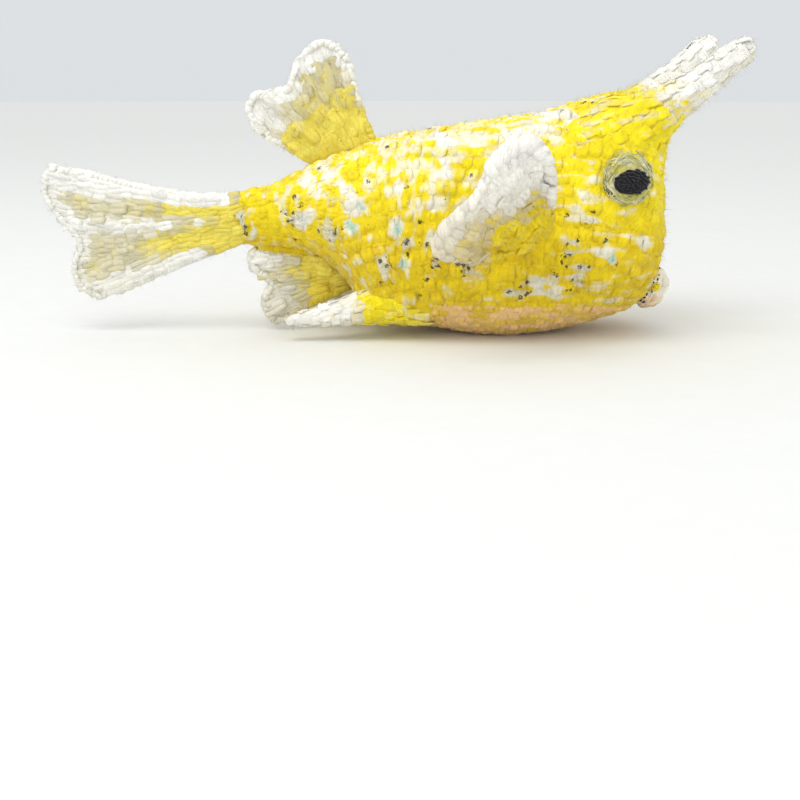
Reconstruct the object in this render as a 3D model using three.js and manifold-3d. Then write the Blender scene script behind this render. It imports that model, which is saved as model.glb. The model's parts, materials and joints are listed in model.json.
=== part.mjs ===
// Longhorn cowfish, a crocheted and stuffed yarn toy, in millimetres.
// +X is the way the face looks, +Y is the fish's left, +Z is up.
// The origin is on the small flat that the stuffed belly rests on.

import * as THREE from 'three';
import { mergeVertices } from 'three/addons/utils/BufferGeometryUtils.js';
import Module from 'manifold-3d';

const wasm = await Module();
wasm.setup();

const { clamp, lerp, smoothstep } = THREE.MathUtils;

// Driving sizes of the body
const GAP = 0.3;
const FLOOR = 0;
const FACE_X = 65.6;
const CAP_START = 38;
const CAP_POWER = 4.4;
const CAP_HEIGHT = 44;
const STALK_END = -92.3;
const HEAD_CUT = 34;
const STALK_CUT = -60;
const FAR = 400;

// Profiles along the body, each point is [x, value]
const BACK = [
  [-93, 53.4], [-81, 55.8], [-70, 61], [-55, 67.8], [-39, 73],
  [-17, 76.7], [6, 80.1], [28, 83.7], [46, 87.2], [70, 87],
];
const BELLY = [
  [-93, 32.9], [-80, 31.6], [-70, 30.8], [-61, 27.4], [-54, 21], [-47, 12.5], [-40, 6.5],
  [-30, 4.2], [-16, 1.1], [1, -1.4], [16, -1.2], [31, 1.5], [46, 5.4], [70, 11],
];
const HALF_WIDTH = [
  [-93, 6.6], [-81, 8.6], [-68, 14], [-54, 22.5], [-40, 29],
  [-20, 34], [5, 36], [28, 36], [48, 34.6], [70, 33],
];
const SEAM = [[-46, 3], [-40, 10], [-28, 15.6], [0, 15.4], [30, 14.8], [46, 13.4], [56, 10.6], [64, 7.2]];

// The section changes from the round tail stalk to the boxy body between these two places
const BOXY = { from: -85, to: -35 };
const WIDEST = { stalk: 0.5, body: 0.37 };
const SQUARENESS = { upper: 0.78, lower: 0.94 };
const LEAN_IN = 0.2;

// Horns over the eyes, the left one a little longer
const HORN = {
  root: [50, 14, 75], tips: { left: [92.2, 28.2, 108.8], right: [90.4, -28.2, 106.8] },
  rows: 11, rootRadius: 13.4, neckRadius: 8.7, tipRadius: 4.7, ridge: 0.35, bend: 2.4,
};

// Short fat horns at the rear lower corners of the body
const REAR_HORN = {
  root: [-36, 17, 13.6], tips: { left: [-75.4, 21.5, 7.4], right: [-75.4, -21.5, 7.4] },
  rows: 9, rootRadius: 8.4, neckRadius: 8.2, tipRadius: 1.9, ridge: 0.3, bend: 0.4,
};
const HORN_SIDES = 12;
const HORN_FLARE = 0.62;
const HORN_FLARE_POWER = 1.8;

// Eyes: a felted dome on each side of the head with a black oval on it
const EYE = { x: 47.8, z: 59.6, across: 9.4, tall: 9.9, proud: 4.6, turnForward: 0.16, turnUp: 0.1 };
const PUPIL = { forward: 0.8, up: -0.8, out: 3.8, across: 7.1, tall: 4.9, proud: 3.3, tilt: 0.09 };

// Mouth: a short soft pad on the lower front corner, facing forward and down
const MOUTH = {
  x: 59.6, z: 19.2, halfWidth: 11, halfTall: 9, reach: 12.2, pitch: 0.52,
  crease: 0.9, creaseWidth: 1.5, squareAcross: 0.72, squareTall: 0.8, squareOut: 0.62,
};

// Fins: a root line, a line the rays bend by, a tip line from side edge to side edge, and padded ribs
const DORSAL_FIN = {
  root: [[-40.5, 0, 71.5], [-65, 0, 63.6]],
  bend: [[-46.6, 0, 84.6], [-76, 0, 68.4]],
  tip: [
    [-50.6, 0, 98.6], [-54.4, 0, 104.6], [-61, 0, 108], [-67.4, 0, 104], [-71.8, 0, 96.5], [-73.4, 0, 92],
    [-79.6, 0, 89.6], [-86.4, 0, 88.8], [-88.8, 0, 84.8], [-86.4, 0, 78.4], [-82.2, 0, 73.4],
  ],
  rootHalf: 3.2, half: 2.5, ribs: [0.1, 0.34, 0.66, 0.92], ribHeight: 0.7, sunk: -0.22,
};
const ANAL_FIN = {
  root: [[-57.5, 0, 29.2], [-50.5, 0, 15.5]],
  bend: [[-72, 0, 30.8], [-64, 0, 10.4]],
  tip: [
    [-86, 0, 31.4], [-90.6, 0, 28.6], [-88.4, 0, 23.6], [-83.4, 0, 19.6], [-82.6, 0, 17], [-84.8, 0, 12.6],
    [-85.4, 0, 7.8], [-82.6, 0, 4.4], [-76.8, 0, 3.8],
  ],
  rootHalf: 3, half: 2.4, ribs: [0.12, 0.42, 0.76], ribHeight: 0.8, sunk: -0.3,
};
const TAIL_FIN = {
  root: [[-92.6, 0, 53.4], [-92.6, 0, 32.9]],
  bend: [[-112, 0, 49.4], [-117, 0, 24]],
  tip: [
    [-158, 0, 62.6], [-163.6, 0, 61.4], [-166, 0, 56], [-165, 0, 49.6], [-160.4, 0, 43], [-155.4, 0, 37.4],
    [-154.2, 0, 32], [-156.4, 0, 27.4], [-157, 0, 22.6], [-154.4, 0, 17], [-149, 0, 13.8], [-143.4, 0, 14],
  ],
  rootHalf: 6.5, half: 2.5, ribs: [0.07, 0.42, 0.9], ribHeight: 0.9, sunk: 0,
};
const SIDE_FIN = {
  root: [[20.6, -29, 42], [15.4, -29, 34.8]],
  bend: [[20.8, -43, 49.4], [3, -46, 34]],
  tip: [
    [16.2, -54, 60], [14.8, -57, 67], [10.6, -59, 73.6], [3.8, -60.2, 75], [-2.6, -60.6, 70],
    [-7.2, -60.8, 62.6], [-10.6, -61.2, 56.4], [-16, -62, 51.4], [-21.6, -62, 45], [-23, -61, 39.8],
    [-17.6, -57.6, 36.8], [-8.4, -52, 37.2],
  ],
  rootHalf: 3.2, half: 2.5, ribs: [0.12, 0.36, 0.7, 0.92], ribHeight: 0.7, sunk: -0.2,
};
const RIB_WIDTH = 0.075;
const FIN_OPENS_BY = 0.45;
const SIDE_RIM = 6;
const TIP_RIM = 15;

// Fineness of the facets
const BODY_SIDES = 40;
const BODY_RINGS = 24;
const CAP_RINGS = 8;
const FIN_RINGS = 8;
const FIN_COLUMNS = 18;
const DOME_SIDES = 22;
const DOME_RINGS = 12;

const YELLOW = 0xf2cf1a;
const WHITE = 0xf1ece0;
const PALE = 0xd9d08a;
const PEACH = 0xd9ad74;
const PINK_WHITE = 0xe9cdb4;
const BLACK = 0x15131a;

function vector(place) {
  return new THREE.Vector3(...place);
}

function signedPower(value, power) {
  return Math.sign(value) * Math.abs(value) ** power;
}

// Smooth curve through the points of a profile
function profile(points) {
  const slope = points.map((point, i) => {
    const before = points[Math.max(i - 1, 0)];
    const after = points[Math.min(i + 1, points.length - 1)];
    return (after[1] - before[1]) / (after[0] - before[0]);
  });
  return (x) => {
    let i = 0;
    while (i < points.length - 2 && x > points[i + 1][0]) {
      i += 1;
    }
    const width = points[i + 1][0] - points[i][0];
    const t = clamp((x - points[i][0]) / width, 0, 1);
    const rise = points[i + 1][1] - points[i][1];
    const a = slope[i] * width - rise;
    const b = rise - slope[i + 1] * width;
    return points[i][1] + rise * t + t * (1 - t) * (a * (1 - t) + b * t);
  };
}

const backAt = profile(BACK);
const bellyAt = profile(BELLY);
const halfWidthAt = profile(HALF_WIDTH);
const seamAt = profile(SEAM);

// A point of the body's skin: x along it, turn round the section from the left side, grown outward
function bodyPoint(x, turn, grow) {
  const intoCap = Math.max(0, (x - CAP_START) / (FACE_X + grow - CAP_START));
  const cap = Math.max(0, 1 - intoCap ** CAP_POWER) ** (1 / CAP_POWER);
  const top = backAt(x) + grow;
  const bottom = bellyAt(x) - grow;
  const boxy = smoothstep(x, BOXY.from, BOXY.to);
  const widest = lerp(bottom, top, lerp(WIDEST.stalk, WIDEST.body, boxy));
  const upper = Math.sin(turn) >= 0;
  const squareness = lerp(1, upper ? SQUARENESS.upper : SQUARENESS.lower, boxy);
  const across = signedPower(Math.cos(turn), squareness);
  const up = signedPower(Math.sin(turn), squareness);
  const lean = upper ? 1 - LEAN_IN * boxy * up : 1;
  const y = (halfWidthAt(x) + grow) * across * lean * cap;
  const z = widest + up * (upper ? top - widest : widest - bottom);
  const capped = CAP_HEIGHT + (z - CAP_HEIGHT) * cap;
  return new THREE.Vector3(x, y, Math.max(capped, FLOOR - grow));
}

// Merges doubled points and drops triangles that this leaves flat
function welded(geometry) {
  geometry.deleteAttribute('normal');
  geometry.deleteAttribute('uv');
  const merged = mergeVertices(geometry, 1e-3);
  const index = merged.index.array;
  const kept = [];
  for (let i = 0; i < index.length; i += 3) {
    const [a, b, c] = [index[i], index[i + 1], index[i + 2]];
    if (a !== b && b !== c && c !== a) {
      kept.push(a, b, c);
    }
  }
  merged.setIndex(kept);
  return merged;
}

function meshOf(points, triangles) {
  const geometry = new THREE.BufferGeometry();
  const positions = points.flatMap((point) => [point.x, point.y, point.z]);
  geometry.setAttribute('position', new THREE.Float32BufferAttribute(positions, 3));
  geometry.setIndex(triangles.flat());
  return geometry;
}

function volumeOf(geometry) {
  const position = geometry.attributes.position;
  const index = geometry.index.array;
  const corner = (i) => new THREE.Vector3().fromBufferAttribute(position, index[i]);
  let volume = 0;
  for (let i = 0; i < index.length; i += 3) {
    volume += corner(i).dot(corner(i + 1).cross(corner(i + 2))) / 6;
  }
  return volume;
}

// A solid for cutting and joining, with its faces turned outward
function solidOf(geometry) {
  const closed = welded(geometry);
  const index = closed.index.array.slice();
  if (volumeOf(closed) < 0) {
    for (let i = 0; i < index.length; i += 3) {
      [index[i + 1], index[i + 2]] = [index[i + 2], index[i + 1]];
    }
  }
  const mesh = new wasm.Mesh({
    numProp: 3,
    vertProperties: new Float32Array(closed.attributes.position.array),
    triVerts: new Uint32Array(index),
  });
  return new wasm.Manifold(mesh);
}

// The largest closed surface of a solid, as a geometry
function geometryOf(solid) {
  const parts = solid.decompose().sort((a, b) => b.volume() - a.volume());
  const mesh = parts[0].getMesh();
  const geometry = new THREE.BufferGeometry();
  geometry.setAttribute('position', new THREE.BufferAttribute(new Float32Array(mesh.vertProperties), 3));
  geometry.setIndex(Array.from(mesh.triVerts));
  return geometry;
}

// Rings of equal count joined to a tube, closed by a fan round a middle point at each end
function tubeSolid(rings) {
  const count = rings[0].length;
  const last = rings.length - 1;
  const points = rings.flat();
  const triangles = [];
  for (let i = 0; i < last; i += 1) {
    for (let j = 0; j < count; j += 1) {
      const a = i * count + j;
      const b = i * count + ((j + 1) % count);
      triangles.push([a, b, b + count], [a, b + count, a + count]);
    }
  }
  [0, last].forEach((end) => {
    const middle = new THREE.Vector3();
    rings[end].forEach((point) => middle.addScaledVector(point, 1 / count));
    points.push(middle);
    for (let j = 0; j < count; j += 1) {
      const a = end * count + j;
      const b = end * count + ((j + 1) % count);
      triangles.push(end === 0 ? [b, a, points.length - 1] : [a, b, points.length - 1]);
    }
  });
  return solidOf(meshOf(points, triangles));
}

// The whole stuffed body, grown outward by the gap where it cuts what grows from it
function bodySolid(grow) {
  const turns = Array.from({ length: BODY_SIDES }, (_, j) => (2 * Math.PI * j) / BODY_SIDES);
  const ringAt = (x) => turns.map((turn) => bodyPoint(x, turn, grow));
  const rings = [];
  for (let i = 0; i < BODY_RINGS; i += 1) {
    rings.push(ringAt(lerp(STALK_END, CAP_START, i / BODY_RINGS)));
  }
  for (let i = 0; i <= CAP_RINGS; i += 1) {
    const swing = (Math.PI / 2) * Math.min(i / CAP_RINGS, 0.995);
    rings.push(ringAt(CAP_START + (FACE_X + grow - CAP_START) * Math.sin(swing)));
  }
  return tubeSolid(rings);
}

// A wide block seen from the side as an outline of [x, z] points
function sideBlock(outline) {
  const shape = new THREE.Shape(outline.map(([x, z]) => new THREE.Vector2(x, z)));
  const geometry = new THREE.ExtrudeGeometry(shape, { depth: 2 * FAR, bevelEnabled: false });
  geometry.rotateX(Math.PI / 2);
  geometry.translate(0, FAR, 0);
  return solidOf(geometry);
}

function slabBetween(from, to) {
  return sideBlock([[from, -FAR], [to, -FAR], [to, FAR], [from, FAR]]);
}

// Everything below the seam of the belly panel, shifted up or down by half the gap
function belowSeam(shift) {
  const first = SEAM[0][0];
  const last = SEAM[SEAM.length - 1][0];
  const steps = 3 * SEAM.length;
  const outline = [];
  for (let i = 0; i <= steps; i += 1) {
    const x = lerp(first, last, i / steps);
    outline.push([x, seamAt(x) + shift]);
  }
  outline.push([last, -FAR], [first, -FAR]);
  return sideBlock(outline);
}

// A soft tapered horn with a low ridge for each crochet row, from a flared root to a round tip
function hornSolid(horn, name, side) {
  const root = vector(horn.root).multiply(new THREE.Vector3(1, side, 1));
  const tip = vector(horn.tips[name]);
  const middle = root.clone().lerp(tip, 0.5);
  middle.z -= horn.bend;
  const spine = new THREE.QuadraticBezierCurve3(root, middle, tip);
  const roundEnd = horn.tipRadius / spine.getLength();
  const steps = 2 * horn.rows;
  const rings = [];
  for (let i = 0; i <= steps; i += 1) {
    const along = i / steps;
    const flare = Math.max(0, 1 - along / HORN_FLARE) ** HORN_FLARE_POWER;
    const intoEnd = Math.max(0, (along - 1 + roundEnd) / roundEnd);
    const round = Math.sqrt(Math.max(0.02, 1 - intoEnd ** 2));
    const plain = lerp(horn.neckRadius, horn.tipRadius, along) + (horn.rootRadius - horn.neckRadius) * flare;
    const radius = (plain + horn.ridge * (i % 2 === 0 ? 1 : -1)) * round;
    const centre = spine.getPoint(along);
    const ahead = spine.getTangent(along);
    const sideways = new THREE.Vector3(0, 0, 1).cross(ahead).normalize();
    const upward = ahead.clone().cross(sideways);
    const ring = [];
    for (let j = 0; j < HORN_SIDES; j += 1) {
      const turn = (2 * Math.PI * j) / HORN_SIDES;
      const offset = sideways.clone().multiplyScalar(Math.cos(turn)).addScaledVector(upward, Math.sin(turn));
      ring.push(centre.clone().addScaledVector(offset, radius));
    }
    rings.push(ring);
  }
  return tubeSolid(rings);
}

// The middle sheet of a fin: u runs out along its rays, v from its first side edge to the other
function finSheet(fin) {
  const [start, end] = fin.root.map(vector);
  const [bendStart, bendEnd] = fin.bend.map(vector);
  const tipLine = new THREE.CatmullRomCurve3(fin.tip.map(vector), false, 'centripetal');
  return (u, v) => {
    const place = start.clone().lerp(end, v).multiplyScalar((1 - u) ** 2);
    place.addScaledVector(bendStart.clone().lerp(bendEnd, v), 2 * u * (1 - u));
    return place.addScaledVector(tipLine.getPointAt(v), u ** 2);
  };
}

// Half the padded thickness of a fin: deeper at its root and ribs, round at its rim
function finHalf(fin, u, v) {
  const open = clamp(u / FIN_OPENS_BY, 0, 1);
  const ribs = fin.ribs.reduce((sum, at) => sum + Math.exp(-(((v - at) / RIB_WIDTH) ** 2)), -0.4);
  const depth = lerp(fin.rootHalf, fin.half, smoothstep(open, 0, 1)) + ribs * fin.ribHeight * open;
  const sideEdge = Math.sqrt(Math.max(0, 1 - Math.abs(2 * v - 1) ** lerp(2, SIDE_RIM, open)));
  const tipEdge = Math.sqrt(Math.max(0, 1 - Math.max(u, 0) ** TIP_RIM));
  return depth * sideEdge * tipEdge;
}

// A padded fan-shaped fin, both faces split into triangles alike
function finGeometry(fin) {
  const sheet = finSheet(fin);
  const step = 0.02;
  const facing = (u, v) => {
    const along = sheet(u + step, v).sub(sheet(u - step, v));
    const across = sheet(u, Math.min(v + step, 1)).sub(sheet(u, Math.max(v - step, 0)));
    return along.cross(across).normalize();
  };
  const columns = FIN_COLUMNS + 1;
  const perFace = (FIN_RINGS + 1) * columns;
  const points = [];
  [1, -1].forEach((face) => {
    for (let i = 0; i <= FIN_RINGS; i += 1) {
      const share = i / FIN_RINGS;
      const u = lerp(fin.sunk, 1, lerp(share, Math.sin((Math.PI / 2) * share), 0.6));
      for (let j = 0; j <= FIN_COLUMNS; j += 1) {
        const even = j / FIN_COLUMNS;
        const v = lerp(even, 0.5 - 0.5 * Math.cos(Math.PI * even), 0.5);
        points.push(sheet(u, v).addScaledVector(facing(u, v), face * finHalf(fin, u, v)));
      }
    }
  });
  const triangles = [];
  for (let i = 0; i < FIN_RINGS; i += 1) {
    for (let j = 0; j < FIN_COLUMNS; j += 1) {
      const a = i * columns + j;
      const [b, c, d] = [a + 1, a + columns + 1, a + columns];
      triangles.push([a, b, c], [a, c, d]);
      triangles.push([a + perFace, c + perFace, b + perFace], [a + perFace, d + perFace, c + perFace]);
    }
  }
  for (let j = 0; j < FIN_COLUMNS; j += 1) {
    triangles.push([j + 1, j, j + perFace], [j + 1, j + perFace, j + 1 + perFace]);
  }
  return meshOf(points, triangles);
}

// The spot on the body's side that a place in the side view falls on
function sideSpot(x, z, side) {
  const steps = 180;
  let nearest = bodyPoint(x, -Math.PI / 2, 0);
  for (let i = 1; i <= steps; i += 1) {
    const point = bodyPoint(x, Math.PI * (i / steps - 0.5), 0);
    if (Math.abs(point.z - z) < Math.abs(nearest.z - z)) {
      nearest = point;
    }
  }
  return nearest.multiply(new THREE.Vector3(1, side, 1));
}

// A soft oval dome centred on a spot, grown outward where it cuts what lies on it
function ovalDome(centre, size, basis, grow) {
  const geometry = new THREE.SphereGeometry(1, DOME_SIDES, DOME_RINGS);
  geometry.scale(size.across + grow, size.tall + grow, size.proud + grow);
  geometry.applyMatrix4(basis);
  geometry.translate(centre.x, centre.y, centre.z);
  return solidOf(geometry);
}

function eyeBasis(side, tilt) {
  const out = new THREE.Vector3(EYE.turnForward, side, EYE.turnUp).normalize();
  const forward = new THREE.Vector3(1, 0, tilt).projectOnPlane(out).normalize();
  const upward = out.clone().cross(forward);
  return new THREE.Matrix4().makeBasis(forward, upward, out);
}

function eyeRing(side, grow) {
  return ovalDome(sideSpot(EYE.x, EYE.z, side), EYE, eyeBasis(side, 0), grow);
}

function pupil(side) {
  const centre = sideSpot(EYE.x, EYE.z, side);
  centre.add(new THREE.Vector3(PUPIL.forward, side * PUPIL.out, PUPIL.up));
  return ovalDome(centre, PUPIL, eyeBasis(side, PUPIL.tilt), 0);
}

// The mouth pad: a rounded oblong with a shallow crease across its outer face
function mouthPad() {
  const geometry = new THREE.SphereGeometry(1, DOME_SIDES, DOME_RINGS);
  const position = geometry.attributes.position;
  const out = new THREE.Vector3(Math.cos(MOUTH.pitch), 0, -Math.sin(MOUTH.pitch));
  const upward = new THREE.Vector3(Math.sin(MOUTH.pitch), 0, Math.cos(MOUTH.pitch));
  for (let i = 0; i < position.count; i += 1) {
    const unit = new THREE.Vector3().fromBufferAttribute(position, i);
    const across = signedPower(unit.x, MOUTH.squareAcross) * MOUTH.halfWidth;
    const tall = signedPower(unit.y, MOUTH.squareTall) * MOUTH.halfTall;
    const crease = MOUTH.crease * Math.exp(-((tall / MOUTH.creaseWidth) ** 2)) * Math.max(0, unit.z);
    const reach = signedPower(unit.z, MOUTH.squareOut) * MOUTH.reach - crease;
    const place = new THREE.Vector3(MOUTH.x, across, MOUTH.z);
    place.addScaledVector(upward, tall).addScaledVector(out, reach);
    position.setXYZ(i, place.x, place.y, place.z);
  }
  return solidOf(geometry);
}

const fish = new THREE.Group();

function addPiece(name, solid, color, roughness = 0.95) {
  const material = new THREE.MeshStandardMaterial({ color, roughness, metalness: 0 });
  const mesh = new THREE.Mesh(geometryOf(solid), material);
  mesh.name = name;
  fish.add(mesh);
}

const body = bodySolid(0);
const bodyGrown = bodySolid(GAP);
const upperBody = body.subtract(belowSeam(GAP / 2));

addPiece('head', upperBody.intersect(slabBetween(HEAD_CUT + GAP / 2, FAR)), YELLOW);
addPiece('torso', upperBody.intersect(slabBetween(STALK_CUT + GAP / 2, HEAD_CUT - GAP / 2)), YELLOW);
addPiece('tail_stalk', upperBody.intersect(slabBetween(-FAR, STALK_CUT - GAP / 2)), YELLOW);
addPiece('belly', body.intersect(belowSeam(-GAP / 2)), PEACH);
addPiece('tail_fin', solidOf(finGeometry(TAIL_FIN)), WHITE);
addPiece('dorsal_fin', solidOf(finGeometry(DORSAL_FIN)).subtract(bodyGrown), WHITE);
addPiece('anal_fin', solidOf(finGeometry(ANAL_FIN)).subtract(bodyGrown), WHITE);
addPiece('mouth', mouthPad().subtract(bodyGrown), PINK_WHITE);

[['left', 1], ['right', -1]].forEach(([name, side]) => {
  const sideFin = finGeometry(SIDE_FIN).scale(1, -side, 1);
  addPiece(`pectoral_fin_${name}`, solidOf(sideFin).subtract(bodyGrown), WHITE);
  addPiece(`horn_${name}`, hornSolid(HORN, name, side).subtract(bodyGrown), WHITE);
  addPiece(`rear_horn_${name}`, hornSolid(REAR_HORN, name, side).subtract(bodyGrown), WHITE);
  addPiece(`eye_ring_${name}`, eyeRing(side, 0).subtract(bodyGrown), PALE);
  addPiece(`pupil_${name}`, pupil(side).subtract(eyeRing(side, GAP)).subtract(bodyGrown), BLACK, 0.8);
});

export default fish;
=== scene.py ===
"""Looks of the crocheted longhorn cowfish toy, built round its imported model.

The shapes are worked out in millimetres, with +X the way the face looks, +Y the fish's left and +Z up.
A mesh gets them in metres.
"""

import json
import math

import bmesh
import bpy
import numpy as np
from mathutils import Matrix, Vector
from mathutils.kdtree import KDTree

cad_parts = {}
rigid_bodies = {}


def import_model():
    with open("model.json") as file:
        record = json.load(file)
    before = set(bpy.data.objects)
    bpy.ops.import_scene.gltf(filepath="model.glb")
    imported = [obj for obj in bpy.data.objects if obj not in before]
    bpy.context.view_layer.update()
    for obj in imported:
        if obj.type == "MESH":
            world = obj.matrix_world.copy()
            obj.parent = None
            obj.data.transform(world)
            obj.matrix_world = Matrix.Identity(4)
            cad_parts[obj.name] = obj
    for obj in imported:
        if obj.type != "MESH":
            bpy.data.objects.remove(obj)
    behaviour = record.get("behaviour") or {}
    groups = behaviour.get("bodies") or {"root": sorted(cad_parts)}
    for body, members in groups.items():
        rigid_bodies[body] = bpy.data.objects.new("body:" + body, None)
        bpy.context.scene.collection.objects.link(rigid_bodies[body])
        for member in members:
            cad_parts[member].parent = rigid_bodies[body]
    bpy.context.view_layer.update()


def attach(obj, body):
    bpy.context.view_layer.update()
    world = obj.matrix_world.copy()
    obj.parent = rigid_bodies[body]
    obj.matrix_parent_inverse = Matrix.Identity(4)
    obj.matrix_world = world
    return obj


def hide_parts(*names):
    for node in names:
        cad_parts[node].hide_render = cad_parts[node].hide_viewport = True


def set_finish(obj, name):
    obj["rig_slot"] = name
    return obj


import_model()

bl_info = {
    "name": "Crocheted cowfish toy",
    "version": (1, 0, 0),
    "blender": (4, 5, 0),
    "location": "3D View > Sidebar > Cowfish",
    "description": "Dresses the packed cowfish toy in crocheted yarn",
    "category": "Object",
}

MM = 0.001
SEED = 7
BODY = "root"

# Sizes shared with the solids
FLOOR = 0.0
FACE_X = 65.6
CAP_START = 38.0
CAP_POWER = 4.4
CAP_HEIGHT = 44.0
STALK_END = -92.3
HEAD_CUT = 34.0
STALK_CUT = -60.0
BACK = [
    (-93, 53.4), (-81, 55.8), (-70, 61), (-55, 67.8), (-39, 73),
    (-17, 76.7), (6, 80.1), (28, 83.7), (46, 87.2), (70, 87),
]
BELLY = [
    (-93, 32.9), (-80, 31.6), (-70, 30.8), (-61, 27.4), (-54, 21), (-47, 12.5), (-40, 6.5),
    (-30, 4.2), (-16, 1.1), (1, -1.4), (16, -1.2), (31, 1.5), (46, 5.4), (70, 11),
]
HALF_WIDTH = [
    (-93, 6.6), (-81, 8.6), (-68, 14), (-54, 22.5), (-40, 29),
    (-20, 34), (5, 36), (28, 36), (48, 34.6), (70, 33),
]
SEAM = [(-46, 3), (-40, 10), (-28, 15.6), (0, 15.4), (30, 14.8), (46, 13.4), (56, 10.6), (64, 7.2)]
BOXY = (-85.0, -35.0)
WIDEST = {"stalk": 0.5, "body": 0.37}
SQUARENESS = {"upper": 0.78, "lower": 0.94}
LEAN_IN = 0.2

HORN = {
    "root": (50, 14, 75), "tips": {"left": (92.2, 28.2, 108.8), "right": (90.4, -28.2, 106.8)},
    "root_radius": 13.4, "neck_radius": 8.7, "tip_radius": 4.7, "bend": 2.4, "fillet": 9,
}
REAR_HORN = {
    "root": (-36, 17, 13.6), "tips": {"left": (-75.4, 21.5, 7.4), "right": (-75.4, -21.5, 7.4)},
    "root_radius": 8.4, "neck_radius": 8.2, "tip_radius": 1.9, "bend": 0.4, "fillet": 6,
}
HORN_SUNK = -0.3
HORN_FLARE = 0.62
HORN_FLARE_POWER = 1.8

EYE = {"x": 47.8, "z": 59.6, "across": 9.4, "tall": 9.9, "proud": 4.6, "forward": 0.16, "up": 0.1}
PUPIL = {
    "forward": 0.8, "up": -0.8, "out": 3.8, "across": 7.1, "tall": 4.9, "proud": 3.3, "tilt": 0.09,
}
MOUTH = {
    "x": 59.6, "z": 19.2, "half_width": 11, "half_tall": 9, "reach": 12.2, "pitch": 0.52,
    "crease": 0.9, "crease_width": 1.5, "square_across": 0.72, "square_tall": 0.8, "square_out": 0.62,
}

DORSAL_FIN = {
    "root": [(-40.5, 0, 71.5), (-65, 0, 63.6)],
    "bend": [(-46.6, 0, 84.6), (-76, 0, 68.4)],
    "tip": [
        (-50.6, 0, 98.6), (-54.4, 0, 104.6), (-61, 0, 108), (-67.4, 0, 104), (-71.8, 0, 96.5),
        (-73.4, 0, 92), (-79.6, 0, 89.6), (-86.4, 0, 88.8), (-88.8, 0, 84.8), (-86.4, 0, 78.4),
        (-82.2, 0, 73.4),
    ],
    "root_half": 3.2, "half": 2.5, "ribs": (0.1, 0.34, 0.66, 0.92), "rib_height": 0.7, "sunk": -0.22,
    "lumps": 0.8,
}
ANAL_FIN = {
    "root": [(-57.5, 0, 29.2), (-50.5, 0, 15.5)],
    "bend": [(-72, 0, 30.8), (-64, 0, 10.4)],
    "tip": [
        (-86, 0, 31.4), (-90.6, 0, 28.6), (-88.4, 0, 23.6), (-83.4, 0, 19.6), (-82.6, 0, 17),
        (-84.8, 0, 12.6), (-85.4, 0, 7.8), (-82.6, 0, 4.4), (-76.8, 0, 3.8),
    ],
    "root_half": 3.0, "half": 2.4, "ribs": (0.12, 0.42, 0.76), "rib_height": 0.8, "sunk": -0.3, "lumps": 0.5,
}
TAIL_FIN = {
    "root": [(-92.6, 0, 53.4), (-92.6, 0, 32.9)],
    "bend": [(-112, 0, 49.4), (-117, 0, 24)],
    "tip": [
        (-158, 0, 62.6), (-163.6, 0, 61.4), (-166, 0, 56), (-165, 0, 49.6), (-160.4, 0, 43),
        (-155.4, 0, 37.4), (-154.2, 0, 32), (-156.4, 0, 27.4), (-157, 0, 22.6), (-154.4, 0, 17),
        (-149, 0, 13.8), (-143.4, 0, 14),
    ],
    "root_half": 6.5, "half": 2.5, "ribs": (0.07, 0.42, 0.9), "rib_height": 0.9, "sunk": 0.0, "lumps": 0.4,
}
SIDE_FIN = {
    "root": [(20.6, -29, 42), (15.4, -29, 34.8)],
    "bend": [(20.8, -43, 49.4), (3, -46, 34)],
    "tip": [
        (16.2, -54, 60), (14.8, -57, 67), (10.6, -59, 73.6), (3.8, -60.2, 75), (-2.6, -60.6, 70),
        (-7.2, -60.8, 62.6), (-10.6, -61.2, 56.4), (-16, -62, 51.4), (-21.6, -62, 45),
        (-23, -61, 39.8), (-17.6, -57.6, 36.8), (-8.4, -52, 37.2),
    ],
    "root_half": 3.2, "half": 2.5, "ribs": (0.12, 0.36, 0.7, 0.92), "rib_height": 0.7, "sunk": -0.2,
    "lumps": 0.6,
}
SIDE_FIN_PUFF = 3.0
RIB_WIDTH = 0.075
FIN_OPENS_BY = 0.45
SIDE_RIM = 6
TIP_RIM = 15

# Dye on the flank, each spot is (x, z, radius)
RING_ROWS_FROM = -52.0
SPOT_RAGGED = 1.25
UNDYED_SPOTS = [
    (-67.2, 58.4, 3.4), (-62.4, 55, 3.4), (-52.6, 55.5, 3.8), (-68.2, 43.8, 4.5), (-49, 50.3, 4.9),
    (-33, 56.8, 3.8), (-21.8, 51.1, 4.5), (-34.8, 43.7, 3.8), (-18, 62.6, 4.2), (-17.4, 73.6, 4.9),
    (28.8, 48.3, 3.2), (40.1, 35.7, 3.6), (54, 37.3, 2.5), (21.8, 20.8, 2.9), (-59.7, 61.6, 4.2),
    (-4.6, 72.6, 3.4), (24.7, 81.8, 5.3), (9.6, 75, 4.5), (17.9, 77.7, 3.8), (42.3, 75.2, 4.5),
    (34, 53.8, 2.6), (10.6, 61.6, 3), (57.9, 77.6, 2.3), (16.4, 22.7, 3.2), (-20.3, 38.7, 3),
]
BLACK_SPECKS = [
    (-92.4, 49.4, 2.6), (-91.9, 45, 3), (-91, 40.2, 3), (-70.5, 44.5, 3.4), (-59, 40.7, 3.8), (-57.2, 38.7, 3),
    (-38.4, 30.7, 3), (-38, 24.1, 3), (-19.9, 31.2, 2.6), (-10.3, 29.5, 3), (-14.8, 54.3, 2.3),
    (-15.8, 51.1, 2.3), (25.7, 45.5, 1.9), (34, 44.7, 2.3), (29.1, 39.1, 2.3), (26.8, 32.3, 3),
    (20.5, 27.3, 2.6), (31.4, 27.6, 2.6), (30.5, 21.5, 3), (11, 21.6, 2.6), (-31.6, 36.4, 2.6),
]
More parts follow.
